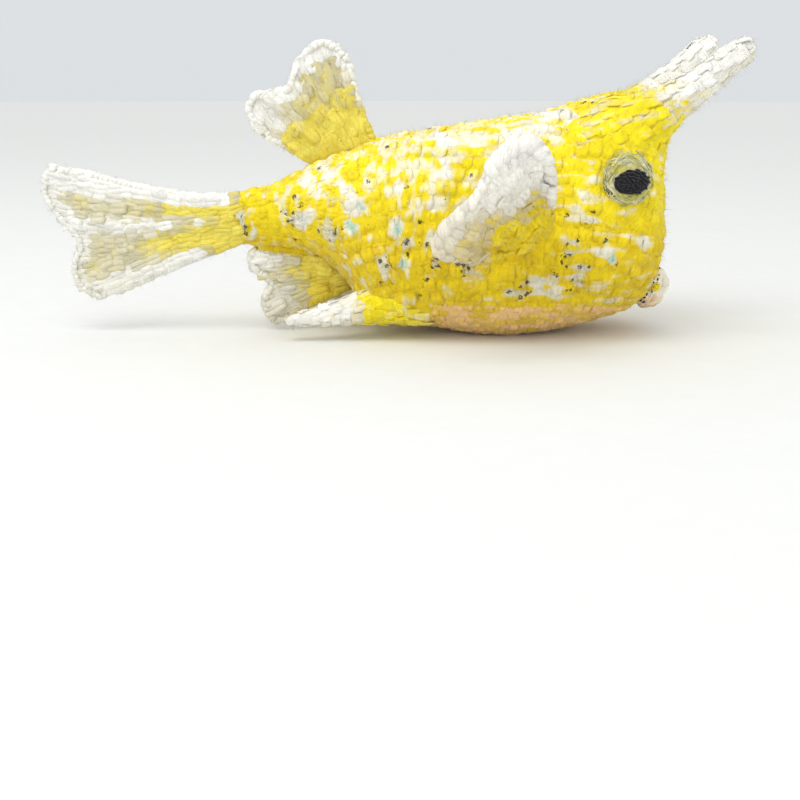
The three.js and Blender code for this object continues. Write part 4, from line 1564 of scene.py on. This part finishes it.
def fin_dye(kind, u, v):
    """Undyed share over a fin: yellow at its root, white along its rims, and between them tan, which is painted
    shade in its webs and under its rims
    """
    side = np.abs(2 * v - 1)
    opened = smooth_step(u, 0.06, 0.34)
    if kind == "tail":
        # Tan in the grooves between the ridges and under the top rim is painted shade
        ends = 0.34 + 0.26 * np.exp(-(((v - 0.62) / 0.12) ** 2)) + 0.16 * np.exp(-(((v - 0.28) / 0.07) ** 2))
        share = 0.14 + 0.5 * smooth_step(u, ends - 0.2, ends + 0.2)
        rim = np.maximum(smooth_step(-v, -0.21, -0.13), smooth_step(v, 0.76, 0.84))
        rim = np.maximum(rim, 0.8 * np.exp(-(((v - 0.43) / 0.06) ** 2)))
        rim = np.maximum(rim, 0.7 * smooth_step(u, 0.9, 0.98))
        opened = np.maximum(smooth_step(u, 0.12, 0.36), smooth_step(-v, -0.21, -0.13) * smooth_step(u, 0.0, 0.1))
    elif kind == "anal":
        share = 0.16 + 0.42 * smooth_step(u, 0.4, 0.66)
        lobes = np.exp(-(((v - 0.16) / 0.12) ** 2)) + np.exp(-(((v - 0.72) / 0.2) ** 2))
        rim = np.maximum(smooth_step(u, 0.86, 0.97), lobes * smooth_step(u, 0.5, 0.66))
    elif kind == "dorsal":
        share = 0.12 + 0.46 * smooth_step(u, 0.34, 0.74)
        rim = np.maximum(smooth_step(u, 0.8, 0.94), 0.8 * smooth_step(side, 0.72, 0.94))
        rim = np.maximum(rim, 0.7 * np.exp(-(((v - 0.78) / 0.12) ** 2)) * smooth_step(u, 0.55, 0.7))
        opened = smooth_step(u, 0.3, 0.6)
    else:
        # The tan band under the white top lobe is painted shadow of the puffed rim
        ends = mix(0.56, 0.78, smooth_step(v, 0.42, 0.62))
        share = 0.08 + 0.5 * smooth_step(u, ends - 0.18, ends - 0.02)
        rim = np.maximum(smooth_step(u, ends + 0.06, ends + 0.18), 0.8 * smooth_step(side, 0.7, 0.92))
        rim = rim * mix(1, smooth_step(u, 0.74, 0.9), smooth_step(v, 0.74, 0.92))
        opened = smooth_step(u, 0.45, 0.6)
    return np.clip(share + (1.05 - share) * rim * opened, 0, 1)


def make_fin(kind, label, node, fin, sizes, seed, in_body=True):
    margin = 1.5 * sizes.rim_thickness / MM
    yarn = "side_fin" if kind == "pectoral" else "fin"
    shape, stands = ("ray", 1.2) if kind in ("tail", "anal") else ("stitch", 0.9)
    tall, wide = sizes.fin_row_height / MM, sizes.fin_stitch_width / MM
    along = np.linspace(0, 1, 300)
    reach = np.concatenate([[0], np.cumsum(np.linalg.norm(np.diff(fin.sheet(along, 0.5), axis=0), axis=1))])
    length = reach[-1] - 0.6 * margin
    count = int(round(length / tall))
    edges = np.interp(np.linspace(0, length, count + 1), reach, along)
    rows = Rows()
    for face in (1, -1):
        for low, high in zip(edges[:-1], edges[1:]):
            u, v = (low + high) / 2, np.linspace(0.02, 0.98, FIN_LINE_POINTS)
            place = fin.face(u, v, face, FIN_INSET)
            up = fin.face(u + 0.01, v, face, FIN_INSET) - fin.face(u - 0.01, v, face, FIN_INSET)
            outward = unit(np.cross(up, np.gradient(place, axis=0))) * face
            run = np.concatenate([[0], np.cumsum(np.linalg.norm(np.diff(place, axis=0), axis=1))])
            inside = (run > margin * 0.8) & (run < run[-1] - margin * 0.8)
            layout = np.stack([v, np.full_like(v, u)], 1)
            line = np.concatenate([place, outward, layout, up / 0.02], 1)[inside]
            found = evenly_along(line, wide) if inside.sum() > 3 else None
            if found is None:
                continue
            values, _, width = found
            width = 1.12 * width
            out = unit(values[:, OUTWARD])
            across = unit(np.cross(unit(values[:, 8:11]), out))
            height = np.minimum(np.linalg.norm(values[:, 8:11], axis=1) * (high - low), 1.5 * tall)
            dye = fin_dye(kind, values[:, 7], values[:, 6])
            layout = values[:, 6:8] * (0.5, 1) + (0.5 if face > 0 else 0, 0)
            lies = np.einsum("ij,ij->i", out, face * fin.facing(values[:, 7], values[:, 6])) > 0.72
            placed = np.concatenate([values[:, PLACE], out, layout], 1)
            rows.add(placed[lies], across[lies], width[lies], 1.1 * height[lies], stands, dye[lies])
    if in_body:
        rows.keep(lambda places: depth_in_body(places) < 0.8)
    rim = rim_rows(kind, fin, sizes)
    if in_body:
        rim.keep(lambda places: depth_in_body(places) < 0.4)
    padding = fin_padding(f"{label}_padding", fin, FIN_INSET - FIN_PADDING_RISE)
    dress_like(padding.data, rows)
    settle(padding, yarn, (node,))
    work_rows(f"{label}_rows", rows, shape, yarn, seed, 0.22, 0.2)
    work_rows(f"{label}_rim", rim, "rim", yarn, seed + 40, 0.14, 0.16)


def rim_size(kind, u, v):
    """Half thickness of the rolled rim, as a share of the usual one: two puffy lobes on a side fin"""
    size = np.full(np.shape(v), RIM_SCALE[kind])
    if kind == "pectoral":
        size *= 0.72 + 0.5 * np.exp(-(((v - 0.28) / 0.17) ** 4)) + 0.3 * np.exp(-(((v - 0.72) / 0.12) ** 4))
        size *= 0.5 + 0.5 * smooth_step(u, 0.45, 0.7)
    return size


def rim_rows(kind, fin, sizes):
    """Strands laid over the rim of a fin, side by side, so that the rim looks rolled"""
    usual = sizes.rim_thickness / MM
    outward_run = np.linspace(0.04, 0.97, RIM_SIDE_POINTS)
    inward_run = np.linspace(0.97, 0.04, RIM_SIDE_POINTS)
    tip_run = np.linspace(0.02, 0.98, RIM_TIP_POINTS)
    u = np.concatenate([outward_run, np.ones(RIM_TIP_POINTS), inward_run])
    v = np.concatenate([np.zeros(RIM_SIDE_POINTS), tip_run, np.ones(RIM_SIDE_POINTS)])
    inner = fin.sheet(np.minimum(u, 0.96), np.clip(v, 0.04, 0.96))
    edge = fin.sheet(u, v)
    side = fin.sheet(u, np.clip(v, 0.03, 0.97)) - edge
    tip = fin.sheet(np.minimum(u, 0.985), v) - edge
    at_tip = u > 0.99
    toward = np.where(at_tip[:, None], unit(tip), unit(side))
    for _ in range(12):
        toward[1:-1] = unit(toward[:-2] + toward[1:-1] + toward[2:])
    place = edge + 1.4 * usual * np.minimum(rim_size(kind, u, v), 1.3)[:, None] * toward
    for _ in range(6):
        place[1:-1] = (place[:-2] + place[1:-1] + place[2:]) / 3
    facing = fin.facing(np.minimum(u, 0.95), np.clip(v, 0.05, 0.95))
    ahead = unit(np.gradient(place, axis=0))
    away = unit(np.cross(ahead, facing))
    away *= np.sign(np.einsum("ij,ij->i", away, edge - inner))[:, None]
    line = np.concatenate([place, away, v[:, None], u[:, None], facing], 1)
    values, _, width = evenly_along(line, 1.4 * usual * RIM_SCALE[kind])
    out = unit(values[:, OUTWARD])
    across = unit(np.cross(values[:, 8:11], out))
    rows = Rows()
    v, u = values[:, 6].copy(), values[:, 7]
    values[:, 6] *= 0.5
    thick = usual * rim_size(kind, u, v)
    rows.add(values[:, :8], across, width, thick, thick, fin_dye(kind, u, v))
    return rows


# Eyes and mouth


def eye_spot(side):
    """Where the eye's middle lies on the flank"""
    turn = np.linspace(-math.pi / 2, math.pi / 2, 721)
    line = body_skin(np.full_like(turn, EYE["x"]), turn, 0.0)
    nearest = line[np.abs(line[:, 2] - EYE["z"]).argmin()]
    return nearest * (1, side, 1)


def eye_axes(side, tilt):
    out = unit(np.array([EYE["forward"], side, EYE["up"]], float))
    ahead = np.array([1, 0, tilt], float)
    ahead = unit(ahead - out * (ahead @ out))
    return ahead, np.cross(out, ahead), out


def dome_place(centre, axes, size, across, tall, lift=0.0):
    """A place on an oval dome, by its shares of the half width and half height"""
    across, tall = np.asarray(across, float), np.asarray(tall, float)
    rise = np.sqrt(np.maximum(0, 1 - across**2 - tall**2))
    ahead, upward, out = axes
    return (
        centre + ahead * (size["across"] * across)[..., None] + upward * (size["tall"] * tall)[..., None]
        + out * (size["proud"] * rise + lift)[..., None]
    )


def dome_mesh(name, centre, axes, size, inset, draw):
    """A soft dome, a little uneven, closed at its back"""
    rings, sides = 22, 48
    angle = np.linspace(0.02, 2.2, rings)[:, None]
    turn = np.linspace(0, 2 * math.pi, sides, endpoint=False)[None, :]
    wobble = 1 + 0.015 * np.sin(3 * turn + draw.uniform(0, 6)) * np.sin(angle)
    ahead, upward, out = axes
    place = (
        centre
        + ahead * ((size["across"] - inset) * np.sin(angle) * np.cos(turn) * wobble)[..., None]
        + upward * ((size["tall"] - inset) * np.sin(angle) * np.sin(turn) * wobble)[..., None]
        + out * ((size["proud"] - inset) * np.cos(angle) + 0 * turn)[..., None]
    )
    flip = bool(np.dot(np.cross(ahead, upward), out) <= 0)
    return fixed_outward(skin_mesh(name, Skin(place, closed=True, flip=flip)))


def fixed_outward(mesh):
    """The mesh with its faces turned outward"""
    work = bmesh.new()
    work.from_mesh(mesh)
    bmesh.ops.recalc_face_normals(work, faces=work.faces)
    work.to_mesh(mesh)
    work.free()
    mesh.update()
    return mesh


def wound_strand(path, radius, outward, sides, flat, turns_per_mm=0.2):
    """A strand along a path of places, with its outward directions"""
    path, outward = np.asarray(path, float), unit(np.asarray(outward, float))
    ahead = unit(np.gradient(path, axis=0))
    sideways = unit(np.cross(ahead, outward))
    swell = np.sqrt(np.sin(np.linspace(0.12, math.pi - 0.12, len(path))))
    length = np.linalg.norm(np.diff(path, axis=0), axis=1).sum()
    return tube(
        path, radius * swell, radius * flat * swell, sideways, outward, sides, 0.0, length * turns_per_mm,
    )


def plain_strands(name, parts, yarn, tone_seed, dye=0.0):
    """Strands of yarn as one finished piece, each with its own tone"""
    mesh = fixed_outward(strand_mesh(name, parts))
    tones = np.random.default_rng(tone_seed).random(len(parts))
    lengths = [len(part[0]) for part in parts]
    set_numbers(mesh, dye=dye, tone=np.repeat(tones, lengths), speck=0, mint=0)
    roots = np.array([part[0][0] for part in parts])
    span = np.ptp(roots, axis=0)
    widest = np.sort(np.argsort(span)[1:])
    layout = np.zeros((len(parts), 3))
    layout[:, :2] = ((roots - roots.min(0)) / span)[:, widest]
    set_numbers(mesh, root_layout=np.repeat(layout, lengths, axis=0))
    set_bake_layout(mesh)
    mesh.shade_smooth()
    settle(new_object(name, mesh), yarn)


def make_eye(name, side):
    draw = np.random.default_rng(SEED + 60 + side)
    centre = eye_spot(side)
    axes = eye_axes(side, 0)
    mesh = dome_mesh(f"eye_{name}_padding", centre, axes, EYE, 0.45, draw)
    dress_plain(mesh, 0.5)
    settle(new_object(f"eye_{name}_padding", mesh), "eye", (f"eye_ring_{name}",))
    wound = []
    for _ in range(46):
        start, sweep = draw.uniform(0, 2 * math.pi), draw.uniform(1.0, 2.2)
        turn = np.linspace(start, start + sweep, 17)
        ring = np.linspace(draw.uniform(0.5, 0.97), draw.uniform(0.5, 0.97), 17)
        place = dome_place(centre, axes, EYE, ring * np.cos(turn), ring * np.sin(turn), -0.42)
        wound.append(wound_strand(place, draw.uniform(0.4, 0.7), place - centre, 6, 0.8))
    for _ in range(80):
        start, sweep = draw.uniform(0, 2 * math.pi), draw.uniform(0.2, 0.7)
        turn = np.linspace(start, start + sweep, 7)
        share = draw.uniform(0.6, 1.06)
        ring = np.clip(share + np.linspace(-1, 1, 7) * draw.uniform(-0.16, 0.16), 0, 1.08)
        place = dome_place(centre, axes, EYE, ring * np.cos(turn), ring * np.sin(turn), draw.uniform(0, 0.3))
        wound.append(wound_strand(place, draw.uniform(0.13, 0.32), place - centre, 5, 0.8))
    plain_strands(f"eye_{name}_wound_yarn", wound, "eye", SEED + 61, 0.58)
    hairs = []
    for k in range(40):
        share = draw.uniform(0.84, 1.0) if k % 4 else draw.uniform(0.55, 0.9)
        start, sweep = draw.uniform(0, 2 * math.pi), draw.uniform(0.2, 0.8)
        thick = draw.uniform(0.05, 0.11)
        if k % 6 == 0:
            start, sweep, share = draw.uniform(0.15, 0.4), draw.uniform(0.4, 0.7), draw.uniform(0.8, 0.95)
            thick = draw.uniform(0.14, 0.22)
        elif k % 6 == 1:
            start, sweep, thick = draw.uniform(3.3, 3.9), draw.uniform(0.2, 0.4), draw.uniform(0.1, 0.18)
        turn = -side * np.linspace(start, start + sweep, 9)
        ring = share + 0.07 * np.sin(np.linspace(0, math.pi, 9)) * draw.uniform(-1, 0.6)
        ring = np.minimum(ring, 0.995)
        place = dome_place(centre, axes, EYE, ring * np.cos(turn), ring * np.sin(turn), 0.05)
        hairs.append(wound_strand(place, thick, place - centre, 4, 1.0))
    plain_strands(f"eye_{name}_black_fibres", hairs, "black", SEED + 62)
    make_pupil(name, side, draw)


def make_pupil(name, side, draw):
    """A black oval of short stitches worked close together"""
    centre = eye_spot(side) + (PUPIL["forward"], side * PUPIL["out"], PUPIL["up"])
    axes = eye_axes(side, PUPIL["tilt"])
    parts = []
    for k in range(46):
        turn, away = 2.4 * k, 0.84 * math.sqrt((k + 0.5) / 46)
        lean = draw.uniform(-0.9, 0.9) + 0.5 * side
        run = np.linspace(-1, 1, 7) * draw.uniform(0.14, 0.24)
        across = away * math.cos(turn) + run * math.cos(lean)
        tall = away * math.sin(turn) + run * math.sin(lean) + 0.05 * np.cos(6 * run)
        reach = np.maximum(1, np.hypot(across, tall) / 0.96)
        place = dome_place(centre, axes, PUPIL, across / reach, tall / reach, -0.34)
        parts.append(wound_strand(place, draw.uniform(0.5, 0.68), place - centre + axes[2] * 4, 7, 0.85))
    plain_strands(f"pupil_{name}_stitches", parts, "black", SEED + 63, 0.3)
    mesh = dome_mesh(f"pupil_{name}_padding", centre, axes, PUPIL, 0.6, draw)
    dress_plain(mesh)
    settle(new_object(f"pupil_{name}_padding", mesh), "black", (f"pupil_{name}",))


KNOT_AT = np.array([64.6, 10.6, 17.2])


def mouth_skin(inset):
    rings, sides = 44, 72
    angle = np.linspace(0.03, math.pi - 0.03, rings)[:, None]
    turn = np.linspace(0, 2 * math.pi, sides, endpoint=False)[None, :]
    x = np.sin(angle) * np.cos(turn)
    y = np.sin(angle) * np.sin(turn)
    z = np.cos(angle) + 0 * turn
    across = signed_power(x, MOUTH["square_across"]) * (MOUTH["half_width"] - inset)
    tall = signed_power(y, MOUTH["square_tall"]) * (MOUTH["half_tall"] - inset)
    crease = MOUTH["crease"] * np.exp(-((tall / MOUTH["crease_width"]) ** 2)) * np.maximum(0, z)
    reach = signed_power(z, MOUTH["square_out"]) * (MOUTH["reach"] - inset) - crease
    out = np.array([math.cos(MOUTH["pitch"]), 0, -math.sin(MOUTH["pitch"])])
    upward = np.array([math.sin(MOUTH["pitch"]), 0, math.cos(MOUTH["pitch"])])
    place = np.array([MOUTH["x"], 0, MOUTH["z"]]) + np.array([0, 1.0, 0]) * across[..., None]
    place = place + upward * tall[..., None] + out * reach[..., None]
    return Skin(place, closed=True, flip=True), tall


def make_mouth():
    draw = np.random.default_rng(SEED + 70)
    skin, tall = mouth_skin(0.9)
    rows = Rows()
    for k in range(-3, 4):
        add_row(
            rows, skin, tall, 2.3 * k + 0.2, 3.2, 2.9, 1.4, 0.5 * (k % 2), 0.0,
            lambda places: 0.36 + 0.4 * smooth_step(places[:, 2] + 0.6 * places[:, 0], 48, 58),
        )
    rows.keep(lambda places: depth_in_body(places) < 0.8)
    mesh = fixed_outward(skin_mesh("mouth_padding", skin, 0.4))
    dress_like(mesh, rows)
    settle(new_object("mouth_padding", mesh), "mouth", ("mouth",))
    work_rows("mouth_rows", rows, "ray", "mouth", 71)
    outer, _ = mouth_skin(0.0)
    depth = depth_in_body(outer.places.reshape(-1, 3)).reshape(outer.places.shape[:2])
    edge = max(level_lines(outer, depth, -1.0), key=len)
    values, ahead, _ = evenly_along(edge, 1.7)
    dashes = []
    for place, out, way in zip(values[:, PLACE], values[:, OUTWARD], ahead):
        for row in (-0.5, 0.9):
            if place[2] < 12 or draw.random() < 0.25:
                continue
            lean = unit(way + np.cross(out, way) * draw.uniform(-0.9, 0.9))
            reach = draw.uniform(0.35, 0.75)
            path = place + out * 0.3 + np.cross(out, way) * (row + draw.uniform(-0.3, 0.3))
            path = path + lean * np.linspace(-reach, reach, 7)[:, None]
            dashes.append(wound_strand(path, draw.uniform(0.26, 0.42), np.tile(out, (7, 1)), 5, 1.0))
    plain_strands("mouth_black_line", dashes, "black", SEED + 72)
    knots = []
    for side in (-1, 1):
        near = np.argmin(np.linalg.norm(outer.places - KNOT_AT * np.array([1, side, 1]), axis=-1))
        spot, out = outer.places.reshape(-1, 3)[near], outer.outward.reshape(-1, 3)[near]
        first = unit(np.cross(out, [0, 0, 1.0]))
        second = np.cross(out, first)
        for radius in (0.5, 1.3):
            turn = np.linspace(0, 6, 22)[:, None]
            path = spot + out * 0.2 + radius * (first * np.cos(turn) + second * np.sin(turn))
            knots.append(wound_strand(path, 0.55, np.tile(out, (22, 1)), 6, 1.0))
    plain_strands("mouth_yellow_knots", knots, "white", SEED + 73)


# Loose fibres


def add_fibres(sizes, names, label, yarn, seed):
    """Loose wool fibres over the pieces of one yarn"""
    sources = [bpy.data.objects[name] for name in names]
    for k, source in enumerate(sources):
        values = {
            "Shapes": SHAPES["fibre"], "Yarn": YARNS[yarn], "Seed": SEED + seed + k, "Sway": 1.1,
            "Unevenness": 0.45, "Density": sizes.fibre_spread * 1e4, "Length": sizes.fibre_length,
        }
        mesh = grown(source.data.copy(), fibre_tree(), values)
        drop_numbers(mesh, "speck", "mint", "OFBake")
        finish_yarn(mesh, yarn == "yellow")
        mesh.name = f"{label}_{k}"
        settle(new_object(f"{label}_{k}", mesh), yarn)


# Operators

SHAPES = {}


class COWFISH_OT_stage(bpy.types.Operator):
    """Make the floor, the soft light and the camera"""

    bl_idname = "cowfish.stage"
    bl_label = "Stage"

    def execute(self, context):
        make_camera(context)
        make_floor()
        make_lights(context)
        return {"FINISHED"}


class COWFISH_OT_yarns(bpy.types.Operator):
    """Make the yarns and the shapes of the stitches"""

    bl_idname = "cowfish.yarns"
    bl_label = "Yarns and stitches"

    def execute(self, context):
        make_yarns(context.scene.cowfish_colours)
        SHAPES["stitch"] = shape_set("crochet_stitch", crochet_stitch, SEED)
        SHAPES["ray"] = shape_set("ray_stitch", ray_stitch, SEED + 3)
        SHAPES["rim"] = shape_set("rim_stitch", rim_stitch, SEED + 1)
        SHAPES["fibre"] = shape_set("loose_fibre", loose_fibre, SEED + 2)
        return {"FINISHED"}


class COWFISH_OT_body(bpy.types.Operator):
    """Crochet the head, torso, tail stalk and belly"""

    bl_idname = "cowfish.body"
    bl_label = "Body and belly"

    def execute(self, context):
        make_body(context.scene.cowfish_sizes)
        return {"FINISHED"}


class COWFISH_OT_horns(bpy.types.Operator):
    """Crochet the two long horns and the two rear horns"""

    bl_idname = "cowfish.horns"
    bl_label = "Horns"

    def execute(self, context):
        sizes = context.scene.cowfish_sizes
        for k, name in enumerate(("left", "right")):
            make_horn("long_horn", HORN, name, sizes, 10 + k, 0.34)
            make_horn("rear_horn", REAR_HORN, name, sizes, 14 + k, 0.3)
        return {"FINISHED"}


class COWFISH_OT_fins(bpy.types.Operator):
    """Crochet the five fins"""

    bl_idname = "cowfish.fins"
    bl_label = "Fins"

    def execute(self, context):
        sizes = context.scene.cowfish_sizes
        make_fin("dorsal", "top_fin", "dorsal_fin", Fin(DORSAL_FIN), sizes, 20)
        make_fin("anal", "lower_fin", "anal_fin", Fin(ANAL_FIN), sizes, 21)
        make_fin("tail", "tail_fan", "tail_fin", Fin(TAIL_FIN), sizes, 22, False)
        for k, (name, side) in enumerate((("left", 1), ("right", -1))):
            fin = Fin(SIDE_FIN, side, SIDE_FIN_PUFF)
            make_fin("pectoral", f"side_fin_{name}", f"pectoral_fin_{name}", fin, sizes, 23 + k)
        return {"FINISHED"}


class COWFISH_OT_face(bpy.types.Operator):
    """Wind the eyes, stitch the pupils and crochet the mouth pad"""

    bl_idname = "cowfish.face"
    bl_label = "Eyes and mouth"

    def execute(self, context):
        for name, side in (("left", 1), ("right", -1)):
            make_eye(name, side)
        make_mouth()
        return {"FINISHED"}


class COWFISH_OT_fibres(bpy.types.Operator):
    """Scatter loose wool fibres over the stitches"""

    bl_idname = "cowfish.fibres"
    bl_label = "Loose fibres"

    def execute(self, context):
        sizes = context.scene.cowfish_sizes
        yellow = ("head_rows", "torso_rows", "stalk_rows")
        add_fibres(sizes, yellow, "yellow_fibres", "yellow", 80)
        white = [
            piece.name for piece in context.scene.objects
            if piece.name.endswith(("_rows", "_rim")) and piece.get("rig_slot") == "white_yarn"
        ]
        add_fibres(sizes, sorted(white), "white_fibres", "white", 90)
        add_fibres(sizes, ("eye_left_wound_yarn", "eye_right_wound_yarn"), "eye_fibres", "eye", 110)
        for group in SHAPES.values():
            drop_shape_set(group)
        SHAPES.clear()
        return {"FINISHED"}


class COWFISH_PT_panel(bpy.types.Panel):
    """The steps of making the toy, in order"""

    bl_idname = "COWFISH_PT_panel"
    bl_label = "Cowfish toy"
    bl_space_type = "VIEW_3D"
    bl_region_type = "UI"
    bl_category = "Cowfish"

    def draw(self, context):
        for step in STEPS:
            self.layout.operator(step.bl_idname)
        for group in (context.scene.cowfish_sizes, context.scene.cowfish_colours):
            for name in group.__annotations__:
                self.layout.prop(group, name)


STEPS = (
    COWFISH_OT_stage, COWFISH_OT_yarns, COWFISH_OT_body, COWFISH_OT_horns, COWFISH_OT_fins, COWFISH_OT_face,
    COWFISH_OT_fibres,
)
CLASSES = (StitchSizes, YarnColours, *STEPS, COWFISH_PT_panel)


# The stage


def make_camera(context):
    data = bpy.data.cameras.new("Camera")
    data.sensor_width = 36.0
    data.lens = 55.17
    data.clip_start, data.clip_end = 0.02, 20.0
    camera = bpy.data.objects.new("Camera", data)
    camera.location = (-0.04834, -0.46793, 0.09626)
    camera.rotation_euler = (math.radians(75.053), 0.0, math.radians(-2.0))
    context.scene.collection.objects.link(camera)
    context.scene.camera = camera


def make_floor():
    sides, radius = 96, 4.0
    turn = np.linspace(0, 2 * math.pi, sides, endpoint=False)
    places = np.stack([radius * np.cos(turn), radius * np.sin(turn), 0 * turn], 1) / MM
    floor = new_object("floor", mesh_of("floor", places, [tuple(range(sides))]))
    material, tree, shader = shader_of("Pale paper")
    place = tree.nodes.new("ShaderNodeTexCoord").outputs["Object"]
    speckle = noise_node(tree, place, 90.0, 3.0, 0.6)
    paper = mix_colours(tree, speckle, (0.78, 0.79, 0.79, 1), (0.82, 0.83, 0.83, 1))
    set_inputs(tree, shader, {"Base Color": paper, "Roughness": 0.9})
    floor.data.materials.append(material)


def make_light(context, name, place, aim, size, power, tint):
    data = bpy.data.lights.new(name, "AREA")
    data.shape = "DISK"
    data.size = size
    data.energy = power
    data.color = tint
    light = bpy.data.objects.new(name, data)
    light.location = place
    light.rotation_mode = "QUATERNION"
    light.rotation_quaternion = (Vector(aim) - Vector(place)).to_track_quat("-Z", "Y")
    context.scene.collection.objects.link(light)


def make_lights(context):
    make_light(context, "Sky light", (-0.34, -0.3, 0.86), (0, 0, 0.04), 0.6, 2.8, (1, 0.99, 0.97))
    make_light(context, "Front fill", (-0.1, -0.95, 0.3), (0, 0, 0.05), 0.8, 0.8, (1, 1, 1))
    world = bpy.data.worlds.new("Studio")
    world.use_nodes = True
    tree = world.node_tree
    way = tree.nodes.new("ShaderNodeTexCoord").outputs["Generated"]
    split = add_node(tree, "ShaderNodeSeparateXYZ", {0: way})
    above = step_node(tree, split.outputs["Z"], 0.0, 0.8)
    sky = mix_colours(tree, above, (0.72, 0.75, 0.77, 1), (1.0, 1.0, 0.98, 1))
    set_inputs(tree, tree.nodes["Background"], {"Color": sky})
    context.scene.world = world
    context.scene.view_settings.view_transform = "Standard"


def register():
    for item in CLASSES:
        bpy.utils.register_class(item)
    bpy.types.Scene.cowfish_sizes = bpy.props.PointerProperty(type=StitchSizes)
    bpy.types.Scene.cowfish_colours = bpy.props.PointerProperty(type=YarnColours)


def unregister():
    del bpy.types.Scene.cowfish_colours
    del bpy.types.Scene.cowfish_sizes
    for item in reversed(CLASSES):
        bpy.utils.unregister_class(item)


def main():
    register()
    bpy.ops.cowfish.stage()
    bpy.ops.cowfish.yarns()
    bpy.ops.cowfish.body()
    bpy.ops.cowfish.horns()
    bpy.ops.cowfish.fins()
    bpy.ops.cowfish.face()
    bpy.ops.cowfish.fibres()


if __name__ == "__main__":
    main()
